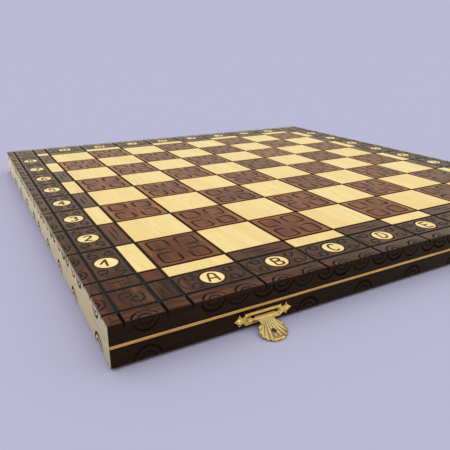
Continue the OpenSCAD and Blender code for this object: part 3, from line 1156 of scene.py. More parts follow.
def even_path(path: Path, step: float) -> Path:
    """Spaces the points of a path evenly.

    Args:
        path: The path.
        step: Wanted distance between points.

    Returns:
        The new path.
    """
    line = np.array(path, float)
    way = np.concatenate([[0], np.cumsum(np.linalg.norm(np.diff(line, axis=0), axis=1))])
    stops = np.linspace(0, way[-1], max(5, round(way[-1] / step) + 1))
    return [(float(x), float(y)) for x, y in zip(*(np.interp(stops, way, line[:, k]) for k in (0, 1)))]


def split_at_corners(path: Path, step: float, limit: float = 50) -> list[Path]:
    """Splits a path at its sharp corners and spaces the points of each part evenly.

    Args:
        path: The path.
        step: Wanted distance between points.
        limit: Turn in degrees from which a corner is sharp.

    Returns:
        The parts.
    """
    parts = [[path[0]]]
    for before, here, after in zip(path, path[1:], path[2:]):
        parts[-1].append(here)
        turn = (Vector(here) - Vector(before)).angle(Vector(after) - Vector(here), 0)
        if turn > math.radians(limit):
            parts.append([here])
    parts[-1].append(path[-1])
    return [even_path(part, step) for part in parts]


class Glyphs:
    """Letters and numbers as strokes in a box one unit high."""

    STEM = [(-0.25, -0.5), (-0.25, 0.5)]
    PATHS: dict[str, list[Path]] = {
        "A": [
            [
                (-0.3, -0.5), (-0.24, 0.0), *arc((0, 0.25), (0.2, 0.25), 165, 15, 8),
                (0.24, 0.0), (0.3, -0.5),
            ],
            [(-0.26, -0.12), (0.26, -0.12)],
        ],
        "B": [
            STEM,
            [(-0.25, 0.48), *arc((0, 0.26), (0.25, 0.22), 80, -80, 8), (-0.2, 0.03)],
            [(-0.2, 0.03), *arc((0.02, -0.24), (0.28, 0.25), 80, -80, 8), (-0.25, -0.49)],
        ],
        "C": [arc((0.04, 0), (0.31, 0.5), 50, 310, 14)],
        "D": [STEM, [(-0.25, 0.48), *arc((-0.04, 0), (0.33, 0.48), 80, -80, 10), (-0.25, -0.48)]],
        "E": [
            STEM, [(-0.25, 0.48), (0.25, 0.48)], [(-0.25, 0.02), (0.17, 0.02)],
            [(-0.25, -0.48), (0.27, -0.48)],
        ],
        "F": [STEM, [(-0.25, 0.48), (0.27, 0.48)], [(-0.25, 0.02), (0.17, 0.02)]],
        "G": [[*arc((0.04, 0), (0.31, 0.5), 50, 320, 14), (0.3, -0.02), (0.06, -0.02)]],
        "H": [STEM, [(0.25, -0.5), (0.25, 0.5)], [(-0.25, 0.0), (0.25, 0.0)]],
        "1": [[(-0.36, -0.1), (0.06, 0.5), (0.0, -0.5)]],
        "2": [[*arc((0, 0.24), (0.24, 0.26), 165, -25, 10), (-0.25, -0.47), (0.28, -0.47)]],
        "3": [
            [
                *arc((-0.02, 0.26), (0.25, 0.24), 150, -75, 9),
                *arc((-0.02, -0.23), (0.28, 0.27), 75, -150, 10),
            ],
        ],
        "4": [[(0.1, -0.5), (0.1, 0.5), (-0.28, -0.16), (0.3, -0.16)]],
        "5": [
            [(0.24, 0.48), (-0.2, 0.48), (-0.23, 0.08), *arc((-0.02, -0.17), (0.28, 0.32), 120, -145, 11)],
        ],
        "6": [
            [
                (0.2, 0.48), *arc((0.24, -0.15), (0.5, 0.6), 120, 175, 6),
                *arc((0, -0.22), (0.26, 0.27), 180, 520, 16),
            ],
        ],
        "7": [[(-0.26, 0.48), (0.27, 0.48), (-0.04, -0.5)]],
        "8": [arc((0, 0.26), (0.21, 0.23), -90, 270, 14), arc((0, -0.23), (0.27, 0.26), 90, 450, 14)],
    }

    @classmethod
    def strokes(cls, glyph: str, height: float, dice: random.Random) -> list[Stroke]:
        """Strokes of one letter or number, slightly slanted as a hand burns them.

        Args:
            glyph: The letter or number.
            height: Its height.
            dice: Source of the hand's unsteadiness.

        Returns:
            The strokes round the glyph's middle.
        """
        spot = Spot(dice.uniform(-0.3, 0.3), dice.uniform(-0.3, 0.3), dice.uniform(-9, -1), size=height)
        width = dice.uniform(1.3, 1.55)
        parts = [part for path in cls.PATHS[glyph] for part in split_at_corners(path, 0.09)]
        return [Stroke(spot.apply(part), width, 0.35, dice.uniform(0.88, 1.0), 0.75) for part in parts]


@dataclass
class Ornaments:
    """Burnt ornaments in millimetres, with a hand's small differences."""

    dice: random.Random

    def ink(self) -> float:
        """How dark one press of the iron comes out."""
        return self.dice.uniform(0.72, 1.0)

    def scroll(self, reach: float, height: float) -> list[Stroke]:
        """One bracket with both ends rolled in, as on the left of a disc.

        Args:
            reach: Distance from the disc's middle to the back of the bracket.
            height: Height of the strip.

        Returns:
            The strokes.
        """
        strokes = []
        eye, rise = (-0.61 * reach, 0.245 * height), 0.15 * height
        for side in (1, -1):
            size = self.dice.uniform(0.94, 1.03)
            back = arc((eye[0], 0), (reach + eye[0], eye[1] + rise), 180, 92, 10)
            curl = volute(eye, rise, 0.8 * rise, 90, -185 - self.dice.uniform(0, 40), 14)
            for path, width, ink in ((back, 1.1, 0.75 * self.ink()), (curl, 1.6, self.ink())):
                drawn = [(x * size + (size - 1) * reach, side * y * size) for x, y in path]
                strokes.append(Stroke(drawn, width, 0.45, ink, 0.6, vary=0.3))
            x, y = drawn[-1]
            strokes.append(Stroke([(x - 0.4, y), (x + 0.4, y)], 2.3, 0.55, 1.0, 0.9))
        return strokes

    def marked(self, spot: Spot, reach: float, height: float) -> list[Stroke]:
        """The two brackets that stand on either side of a disc."""
        left = self.scroll(reach, height)
        right = [stroke.at(Spot(flip=True)) for stroke in self.scroll(reach, height)]
        return [stroke.at(spot) for stroke in left + right]

    def corner(self, spot: Spot, height: float) -> list[Stroke]:
        """The S of two curls in the corner of the marked strips."""
        strokes = []
        for side, strength in ((1, 1.0), (-1, 0.75)):
            tail = [(0.25 * height, 0.2 * height), (0.295 * height, 0.05 * height)]
            curl = volute((0.1 * height, -0.13 * height), 0.2 * height, 0.1 * height, 8, -285, 18)
            path = [(side * x, side * y) for x, y in tail + curl]
            strokes.append(Stroke(path, 1.8, 0.5, strength * self.ink(), 0.4, vary=0.25))
            strokes.append(Stroke(path[-2:], 2.1, 0.5, strength, 0.8))
        return [stroke.at(spot) for stroke in strokes]

    def loops(self, spot: Spot, square: float) -> list[Stroke]:
        """The four rounded loops of a dark square, each closed by a short dash."""
        strokes = []
        wide, tall, bend, gap = 0.145 * square, 0.165 * square, 0.05 * square, 0.075 * square
        for across in (-1, 1):
            for up in (-1, 1):
                size = self.dice.uniform(0.95, 1.04)
                loop = [(-wide, -tall + gap * self.dice.uniform(0.8, 1.2))]
                for x, y, start in ((-1, 1, 180), (1, 1, 90), (1, -1, 0)):
                    middle = (x * (wide - bend), y * (tall - bend))
                    loop += arc(middle, bend, start, start - 90, 5)
                loop += [(-wide + gap * self.dice.uniform(0.8, 1.3), -tall)]
                placed = [(across * x * size, up * y * size) for x, y in loop]
                here = Spot(0.225 * across * square, 0.24 * up * square, self.dice.uniform(-3, 3))
                path = here.apply(even_path(placed, 2.0))
                strokes.append(Stroke(path, 1.9, 0.5, self.ink(), 0.7, vary=0.25))
        return [stroke.at(spot) for stroke in strokes]

    def dashes(self, spot: Spot, length: float, height: float) -> list[Stroke]:
        """Two staggered lines along a strip."""
        strokes = []
        for side in (-1, 1):
            start = self.dice.uniform(-0.32, -0.26) * length + (0.17 * length if side < 0 else 0)
            end = start + self.dice.uniform(0.42, 0.5) * length
            y = side * 0.13 * height
            path = [(start + (end - start) * k / 4, y + self.dice.uniform(-0.15, 0.15)) for k in range(5)]
            strokes.append(Stroke(path, 1.1, 0.4, 1.0 if side > 0 else 0.6, 0.25, vary=0.2).at(spot))
        return strokes

    def sun(self, x: float, edge: float, radius: float) -> list[Stroke]:
        """A half sun on top of a rail: an outer ring and a beaded inner one, open towards the edge.

        Args:
            x: Its place along the rail.
            edge: Place of the rail's upper edge across the unrolled rail.
            radius: Radius of the outer ring.

        Returns:
            The strokes.
        """
        low, split = edge - 0.17 * radius, self.dice.uniform(100, 118)
        strokes = [Stroke(arc((x, low), radius, 168, split, 9), 1.3, 0.4, 0.95, 0.5, vary=0.2)]
        strokes.append(Stroke(arc((x, low), radius, 48, 14, 6), 0.9, 0.35, 0.7 * self.ink(), 0.3))
        strokes += self.beads(x, low, radius, (56, split - 9), 5, 1.1)
        strokes.append(Stroke(arc((x, low), 0.54 * radius, 155, 128, 5), 1.1, 0.4, 0.8, 0.4))
        strokes += self.beads(x, low, 0.54 * radius, (40, 116), 5, 1.5)
        return strokes

    def beads(
        self, x: float, edge: float, radius: float, turns: Pair, count: int, length: float
    ) -> list[Stroke]:
        """A ring of short strokes that point at its middle.

        Args:
            x: Place of its middle along the rail.
            edge: Place of its middle across the unrolled rail.
            radius: Radius of the ring.
            turns: First and last angle in degrees.
            count: Number of strokes.
            length: Length of each.

        Returns:
            The strokes.
        """
        strokes = []
        for k in range(count):
            turn = math.radians(turns[0] + (turns[1] - turns[0]) * k / (count - 1))
            reach = [radius - length / 2, radius, radius + length / 2]
            path = [(x + r * math.cos(turn), edge + r * math.sin(turn)) for r in reach]
            strokes.append(Stroke(path, 0.85, 0.35, self.ink(), 0.7))
        return strokes

    def gouge(self, x: float, edge: float, radius: float, strength: float) -> list[Stroke]:
        """A crescent cut that hangs from the upper edge of a rail's outer side.

        Args:
            x: Its place along the rail.
            edge: Place of the rail's upper edge across the unrolled rail.
            radius: Radius of the crescent.
            strength: Share of its full width and depth.

        Returns:
            The strokes.
        """
        outer = arc((x, edge), radius, 186, 354, 14)
        inner = arc((x, edge), 0.55 * radius, 190, 350, 8)
        return [
            Stroke(outer, 2.3 * strength, 0.85 * strength, 1.0, 0.15),
            Stroke(inner, 1.3 * strength, 0.6 * strength, 0.9, 0.3),
        ]

    def arch(self, x: float, rim: float, radius: float) -> list[Stroke]:
        """A double crescent that rises from the rim of a rail's outer side."""
        outer = arc((x, rim), radius, 2, 178, 14)
        inner = arc((x, rim), 0.55 * radius, 4, 176, 8)
        return [Stroke(outer, 2.2, 0.8, 1.0, 0.35), Stroke(inner, 1.4, 0.6, 0.95, 0.4)]


# ---- Veneer fields ----


class Kind(Enum):
    """Kinds of veneer field: finish, slot, chamfer, width of the scorched edge and how dark it is."""

    LIGHT = (LIGHT_WOOD, "light_veneer", 0.22, 0.45, 0.42)
    DARK = (DARK_WOOD, "dark_veneer", 0.35, 0.6, 0.7)
    DARK_HALF = (BORDER_WOOD, "dark_veneer", 0.35, 0.6, 0.7)
    MARKED = (BORDER_WOOD, "border_veneer", 0.35, 0.6, 0.7)
    DISC = (DISC_WOOD, "light_veneer", 0.25, 0.75, 0.95)

    def __init__(self, finish: WoodFinish, slot: str, chamfer: float, fade: float, ink: float) -> None:
        """Gives each part of the kind its name."""
        self.finish = finish
        self.slot = slot
        self.chamfer = chamfer
        self.fade = fade
        self.ink = ink


@dataclass
class VeneerFields:
    """The veneer fields of one half: squares, half squares, marked strips and discs.

    Columns run from left to right and rows from the outer end of the half, with the marked strips
    as 0 and 11. A field's veneer is cut from anywhere in a log that reaches so many metres.
    """

    layout: Layout
    half: Half
    dice: random.Random
    letters: str = "ABCDEFGH"
    letter_height: float = 11.6
    number_height: float = 11.0
    scroll_gap: float = 0.6
    log_reach: float = 3.0

    def __post_init__(self) -> None:
        """Prepares the ornaments."""
        self.ornaments = Ornaments(self.dice)

    def spot(self, i: int, j: int, turn: float = 0.0) -> Spot:
        """Middle of a field."""
        left, near, right, far = self.layout.cell(i, j, self.half)
        return Spot((left + right) / 2, (near + far) / 2, turn)

    @staticmethod
    def has_disc(i: int, j: int) -> bool:
        """Tells whether that field of the marked strips carries a disc."""
        return 1 < i < 10 if j == 0 else i in (0, 11) and j > 1

    def marking(self, i: int, j: int) -> list[Stroke]:
        """The letter or number of a disc.

        Args:
            i: Column of the field it lies in.
            j: Row of that field.

        Returns:
            The strokes.
        """
        far = self.half is Half.FAR
        if j:
            turn, height, glyph = 0, self.number_height, str(10 - j if far else j - 1)
        else:
            turn, height, glyph = 180 if far else 0, self.letter_height, self.letters[i - 2]
        strokes = Glyphs.strokes(glyph, height, self.dice)
        return [stroke.at(self.spot(i, j, turn)) for stroke in strokes]

    def strokes(self, kind: Kind, i: int, j: int) -> list[Stroke]:
        """What is burnt into a field.

        Args:
            kind: The field's kind.
            i: The field's column.
            j: The field's row.

        Returns:
            The strokes.
        """
        size, draw = self.layout, self.ornaments
        if kind is Kind.DISC:
            return self.marking(i, j)
        if kind is Kind.DARK:
            return draw.loops(self.spot(i, j), size.square)
        if kind is Kind.LIGHT or (kind is Kind.DARK_HALF and j == 1 and i in (1, 10)):
            return []
        if kind is Kind.DARK_HALF:
            return draw.dashes(self.spot(i, j, 0 if j == 1 else 90), size.square, size.half_square)
        if self.has_disc(i, j):
            reach = size.square / 2 - size.groove - self.scroll_gap
            return draw.marked(self.spot(i, j, 90 if j else 0), reach, size.strip)
        if j == 0 and i in (0, 11):
            return draw.corner(self.spot(i, j, 180 if self.half is Half.FAR else 0), size.strip)
        return draw.dashes(self.spot(i, j, 0 if j else 90), size.strip, size.half_square)

    def edges(self, kind: Kind, i: int, j: int) -> tuple[Path, list[Path]]:
        """Edge of a field's flat top and of its hole.

        Args:
            kind: The field's kind.
            i: The field's column.
            j: The field's row.

        Returns:
            The outline and the holes.
        """
        left, near, right, far = self.layout.cell(i, j, self.half)
        inset = kind.chamfer
        middle = ((left + right) / 2, (near + far) / 2)
        if kind is Kind.DISC:
            return arc(middle, self.layout.disc_radius - inset, 0, 351, 40), []
        left, near, right, far = left + inset, near + inset, right - inset, far - inset
        outline = [(left, near), (right, near), (right, far), (left, far)]
        if kind is Kind.MARKED and self.has_disc(i, j):
            return outline, [arc(middle, self.layout.disc_radius + self.layout.ring + inset, 360, 9, 40)]
        return outline, []

    def make(self, name: str, ending: str, kind: Kind, places: Iterable[tuple[int, int]]) -> None:
        """Makes one piece of several fields.

        Args:
            name: The solid it stands for, without the half.
            ending: What the piece's own name ends with.
            kind: The kind of its fields.
            places: Column and row of each field.
        """
        carving = Carving(self.half.node(name + ending))
        for i, j in places:
            strokes = self.strokes(kind, i, j)
            outline, holes = self.edges(kind, i, j)
            sheet = Engraving(outline, strokes, holes, kind.fade, kind.ink).build()
            block = block_from_sheet(sheet, self.layout.top, self.layout.veneer_floor, kind.chamfer)
            tone = self.dice.random()
            cut = tuple(self.dice.uniform(-self.log_reach, self.log_reach) for _ in range(3))
            carving.add(*block, tone, cut)
        carving.build(kind.finish, self.half.body, kind.slot, self.half.node(name))

    def build(self) -> None:
        """Makes all fields of the half."""
        sides = [(i, j) for i in (1, 10) for j in range(2, 6)]
        whole = [(i, j) for i in range(2, 10) for j in range(2, 6)]
        halves = [(i, 1) for i in range(1, 11)] + sides
        letters = [(i, 0) for i in range(2, 10)]
        numbers = [(i, j) for i in (0, 11) for j in range(2, 6)]
        corners = [(0, 0), (1, 0), (10, 0), (11, 0), (0, 1), (11, 1)]
        for name, ending, kind, places in (
            ("dark_squares", "_burnt", Kind.DARK, whole),
            ("dark_half_squares", "_burnt", Kind.DARK_HALF, halves),
            ("light_squares", "_fitted", Kind.LIGHT, whole),
            ("light_half_squares", "_fitted", Kind.LIGHT, halves),
        ):
            dark = kind is not Kind.LIGHT
            alike = [place for place in places if self.layout.is_dark(*place, self.half) == dark]
            self.make(name, ending, kind, alike)
        for name, kind, places in (
            ("letter_tiles", Kind.MARKED, letters), ("number_tiles", Kind.MARKED, numbers),
            ("corner_tiles", Kind.MARKED, corners), ("letter_discs", Kind.DISC, letters),
            ("number_discs", Kind.DISC, numbers),
        ):
            self.make(name, "_burnt", kind, places)


# ---- Rails ----


@dataclass
class RailSection:
    """Section of a rail, unrolled.

    The way round it runs from the inner edge of the rim, out under the rim, up the outer side,
    over the top and back down inside. It is measured from the outer side inwards and upwards.
    """

    layout: Layout
    top_width: float
    full_width: float
    line_depth: float = 1.0
    rim_bend: float = 0.6
    top_bend: float = 0.9
    bend_steps: int = 4
    starts: list[float] = field(default_factory=list)
    spans: list[tuple] = field(default_factory=list)

    def __post_init__(self) -> None:
        """Lays the sides and bends of the section one after the other."""
        size = self.layout
        corners = [
            (self.full_width, 0.0, 0.0), (0.0, 0.0, self.rim_bend), (0.0, size.line_low, 0.0),
            (self.line_depth, size.line_low, 0.0), (self.line_depth, size.line_high, 0.0),
            (0.0, size.line_high, 0.0), (0.0, size.top, self.top_bend), (self.top_width, size.top, 0.0),
            (self.top_width, size.panel_floor, 0.0), (self.full_width, size.panel_floor, 0.0),
        ]
        self.length = 0.0
        self.bends: dict[str, float] = {}
        for index, (x, z, bend) in enumerate(corners):
            after_x, after_z, after_bend = corners[(index + 1) % len(corners)]
            step = Vector((after_x - x, after_z - z)).normalized()
            out = Vector((-step.y, step.x))
            start = Vector((x, z)) + step * bend
            end = Vector((after_x, after_z)) - step * after_bend
            self._span(start, end, out, out)
            if after_bend:
                centre = end - out * after_bend
                name = "rim" if after_z == 0 else "edge"
                self.bends[name] = self.length + after_bend * math.pi / 4
                for k in range(self.bend_steps):
                    turns = [math.pi / 2 * (k + part) / self.bend_steps for part in (0, 1)]
                    outs = [out * math.cos(t) - step * -math.sin(t) for t in turns]
                    self._span(centre + outs[0] * after_bend, centre + outs[1] * after_bend, *outs)
        self.inner_edge = self._top_end()

    def _span(self, start: Vector, end: Vector, out: Vector, out_after: Vector) -> None:
        """Adds one straight stretch with the outward directions at its ends."""
        self.starts.append(self.length)
        self.spans.append((start, end, out, out_after))
        self.length += (end - start).length

    def _top_end(self) -> float:
        """Way along the section to the corner where the top meets the inner side."""
        target = Vector((self.top_width, self.layout.top))
        for start, (a, b, _, _) in zip(self.starts, self.spans):
            if (b - target).length < TINY:
                return start + (b - a).length
        return self.length

    def lay(self, way: np.ndarray, depth: np.ndarray) -> tuple[np.ndarray, np.ndarray]:
        """Folds points of the unrolled rail round the section.

        Args:
            way: Way of each point along the section.
            depth: Depth of each point under the surface.

        Returns:
            Distance of each point from the outer side, and its height.
        """
        index = np.clip(np.searchsorted(self.starts, way - 1e-4, side="right") - 1, 0, len(self.spans) - 1)
        table = np.array([[*a, *b, *n, *m] for a, b, n, m in self.spans])[index]
        starts = np.array(self.starts)[index]
        start, end, out, out_after = (table[:, k:k + 2] for k in (0, 2, 4, 6))
        length = np.maximum(np.linalg.norm(end - start, axis=1), TINY)
        share = np.clip((way - starts) / length, 0, 1)[:, None]
        normal = out + (out_after - out) * share
        normal /= np.linalg.norm(normal, axis=1)[:, None]
        place = start + (end - start) * share - normal * depth[:, None]
        return place[:, 0], place[:, 1]


@dataclass
class Rails:
    """The front or back rail and the two side rails of one half."""

    layout: Layout
    half: Half
    dice: random.Random
    margin: float = 3.0
    jitter: float = 0.012
    arch: float = 0.165
    tone: float = 0.3

    def __post_init__(self) -> None:
        """Prepares the ornaments."""
        self.ornaments = Ornaments(self.dice)
        self.forward = 1 if self.half is Half.NEAR else -1

    def channel(self, x: float, section: RailSection) -> Stroke:
        """The milled line that crosses the top of a rail and notches its outer edge."""
        start, end = section.bends["edge"] - 2.4, section.inner_edge + 2
        path = [(x, start + (end - start) * k / 8) for k in range(9)]
        return Stroke(path, self.layout.groove, self.layout.top - self.layout.veneer_floor, 1.0, 0.6, 0.35)

    def strokes(self, section: RailSection, ends: Pair, lines: Sequence[float]) -> list[Stroke]:
        """Everything that is cut into a rail.

        Args:
            section: The rail's section.
            ends: Where the rail starts and ends.
            lines: Middles of the milled lines that cross it.

        Returns:
            The strokes on the unrolled rail.
        """
        square = self.layout.square
        edge, radius = section.bends["edge"], min(0.16 * square, 0.8 * section.top_width)
        sun = partial(self.ornaments.sun, edge=edge, radius=radius)
        gouge = partial(self.ornaments.gouge, edge=edge, radius=radius)
        arch = partial(self.ornaments.arch, rim=section.bends["rim"], radius=self.arch * square)
        gouges = ((0.25, 1.0), (0.59, 0.6), (0.98, 0.9))
        by_square = [(0.28, sun), (0.73, sun)]
        by_square += [(share, partial(gouge, strength=strength)) for share, strength in gouges]
        by_square.append((0.69, arch))
        marks = [(k + share, draw) for k in range(-4, 4) for share, draw in by_square]
        strip = (self.layout.mark_in + self.layout.mark_out) / 2 / square
        on_strip = (sun, partial(gouge, strength=0.8), arch)
        marks += [(side * strip, draw) for side in (-1, 1) for draw in on_strip]
        strokes = [self.channel(x, section) for x in lines]
        for share, draw in marks:
            x = (share + self.dice.uniform(-self.jitter, self.jitter)) * square
            if ends[0] < x < ends[1]:
                strokes += draw(x)
        return strokes

    def unrolled(self, section: RailSection, ends: Pair, lines: Sequence[float]) -> tuple:
        """Makes a rail of full length along X, folded round its section.

        Args:
            section: The rail's section.
            ends: Where the rail starts and ends.
            lines: Middles of the milled lines that cross it.

        Returns:
            Length along the rail, distance from the outer side, height, burn, side mark and triangles.
        """
        low, high = ends[0] - self.margin, ends[1] + self.margin
        outline = [(low, 0), (high, 0), (high, section.length), (low, section.length)]
        folds = [[(low, way), (high, way)] for way in section.starts[1:]]
        sheet = Engraving(outline, self.strokes(section, ends, lines), lines=folds).build()
        along, way = sheet.points.T
        side = np.clip(1 - (way - section.bends["edge"]) / 0.6, 0, 1) * (way > section.bends["rim"])
        return along, *section.lay(way, sheet.depth), sheet.burn, side, sheet.triangles

    @staticmethod
    def cut_rail(mesh: bpy.types.Mesh, planes: Sequence[tuple[Vector, Vector]]) -> None:
        """Cuts a rail to length and closes its ends.

        Args:
            mesh: The rail's mesh in metres.
            planes: A point and the outward direction of each cut.
        """
        made = bmesh.new()
        made.from_mesh(mesh)
        bmesh.ops.remove_doubles(made, verts=made.verts, dist=2e-6)
        for point, outwards in planes:
            everything = made.verts[:] + made.edges[:] + made.faces[:]
            cut = bmesh.ops.bisect_plane(
                made, geom=everything, dist=1e-7, plane_co=point, plane_no=outwards, clear_outer=True
            )
            edges = [item for item in cut["geom_cut"] if isinstance(item, bmesh.types.BMEdge)]
            bmesh.ops.triangle_fill(made, use_beauty=True, edges=edges, normal=outwards)
        bmesh.ops.recalc_face_normals(made, faces=made.faces)
        if made.calc_volume(signed=True) < 0:
            bmesh.ops.reverse_faces(made, faces=made.faces)
        made.to_mesh(mesh)
        made.free()

    def mitre(self, flank: int, of_side: bool) -> tuple[Vector, Vector]:
        """The mitre between the end rail and a side rail.

        Args:
            flank: -1 for the left one and 1 for the right one.
            of_side: Whether the side rail is cut, and not the end rail.

        Returns:
            A point on the mitre and the direction that looks out of the rail.
        """
        layout = self.layout
        corner = Vector((flank * layout.half_width, layout.flipped(-layout.half_depth, self.half), 0)) * MM
        out = Vector((flank * layout.end_top, self.forward * layout.side_top, 0)).normalized()
        return corner, -out if of_side else out

    def make(
        self, name: str, finish: WoodFinish, points: Sequence[np.ndarray], marks: tuple, cut: Colour,
        planes: Sequence[tuple[Vector, Vector]]
    ) -> None:
        """Makes one rail in place of its solid.

        Args:
            name: The solid, without the half.
            finish: The rail's finish.
            points: The three coordinates of its points.
            marks: Burn, side mark and triangles.
            cut: Where in the wood it was cut, in metres.
            planes: A point and the outward direction of each cut.
        """
        burn, side, faces = marks
        carving = Carving(self.half.node(name + "_carved"))
        carving.add(np.column_stack(points), faces, burn, self.tone, cut, side)
        trim = partial(self.cut_rail, planes=planes)
        carving.build(finish, self.half.body, "stained_rail", self.half.node(name), trim=trim)

    def build(self) -> None:
        """Makes the front or back rail and the two side rails."""
        layout, near = self.layout, self.half is Half.NEAR
        section = RailSection(layout, layout.end_top, layout.end_full)
        ends = (-layout.half_width, layout.half_width)
        along, inwards, height, *marks = self.unrolled(section, ends, layout.lines)
        depth = layout.flipped(-layout.half_depth, self.half) + inwards * self.forward
        planes = [self.mitre(flank, False) for flank in (-1, 1)]
        name = "front_rail" if near else "back_rail"
        self.make(name, END_RAIL_WOOD, (along, depth, height), marks, (0.4, 0.2, 0.1), planes)
        section = RailSection(layout, layout.side_top, layout.side_full)
        ends = (-layout.half_depth, 0.0)
        fold = Vector((0, layout.flipped(0, self.half) * MM, 0))
        for flank, name in ((-1, "left_rail"), (1, "right_rail")):
            along, inwards, height, *marks = self.unrolled(section, ends, layout.lines[:7])
            across = flank * (layout.half_width - inwards)
            depth = along if near else layout.fold_gap - along
            planes = [self.mitre(flank, True), (fold, Vector((0, self.forward, 0)))]
            self.make(name, SIDE_RAIL_WOOD, (across, depth, height), marks, (0.1, 0.5, 0.3), planes)


# ---- Clasps ----


@dataclass(frozen=True)
class Perch:
    """Where a clasp sits: along the front, at its pin's height, on the wood, with its pin that far out."""

    x: float
    height: float
    face: float
    out: float

    @classmethod
    def of(cls, flank: str, layout: Layout) -> "Perch":
        """Reads it from the clasp's pin.

        Args:
            flank: Left or right.
            layout: The board's sizes.

        Returns:
            The clasp's place.
        """
        low, high = box_mm(f"{flank}_clasp_pin")
        middle = (low + high) / 2
        return cls(middle.x, middle.z, -layout.half_depth, -layout.half_depth - middle.y)

    def on_face(self, points: np.ndarray) -> np.ndarray:
        """Puts points given along the front, upwards and outwards where the clasp is."""
        along, up, out = points.T
        return np.column_stack([self.x + along, self.face - out, self.height + up])


def roll(ends: Pair, outer: float, inner: float, start: float, end: float) -> tuple:
    """A strip rolled round the X axis, with its ends rounded off.

    Args:
        ends: Where it starts and ends.
        outer: Its outer radius.
        inner: Its inner radius.
        start: First angle in degrees, from upwards towards outwards.
        end: Last angle in degrees.

    Returns:
        Its points along, up and out, its faces and the tarnish of each point.
    """
    bevel, count = 0.22, 30
    low, high = ends
    sections = [(low, outer - bevel), (low + bevel, outer), (high - bevel, outer), (high, outer - bevel)]
    points, faces, size = [], [], 2 * count
    for x, radius in sections:
        for reach in (radius, inner):
            points += [(x, up, out) for up, out in arc((0, 0), reach, start, end, count)]
    for k in range(len(sections) - 1):
        a, b = k * size, (k + 1) * size
        for i in range(count - 1):
            faces.append([a + i, a + i + 1, b + i + 1, b + i])
            faces.append([b + count + i, b + count + i + 1, a + count + i + 1, a + count + i])
        for i, turned in ((0, False), (count - 1, True)):
            face = [a + i, b + i, b + count + i, a + count + i]
            faces.append(face[::-1] if turned else face)
    last = (len(sections) - 1) * size
    for i in range(count - 1):
        faces.append([i, count + i, count + i + 1, i + 1])
        faces.append([last + i + 1, last + count + i + 1, last + count + i, last + i])
    return np.array(points), faces, np.zeros(len(points))


def slab(low: Colour, high: Colour, bevel: float) -> tuple:
    """A block along, up and out whose outer edges are bevelled.

    Args:
        low: Its lowest corner.
        high: Its highest corner.
        bevel: Width of the bevel round its outer face.

    Returns:
        Its points, faces and the tarnish of each point.
    """
    rings = [(low[2], 0.0), (high[2] - bevel, 0.0), (high[2], bevel)]
    points = []
    for out, inset in rings:
        a, b, c, d = low[0] + inset, low[1] + inset, high[0] - inset, high[1] - inset
        points += [(a, b, out), (c, b, out), (c, d, out), (a, d, out)]
    faces = [[3, 2, 1, 0], [8, 9, 10, 11]]
    for ring in (0, 4):
        faces += [[ring + k, ring + (k + 1) % 4, ring + 4 + (k + 1) % 4, ring + 4 + k] for k in range(4)]
    return np.array(points), faces, np.zeros(len(points))


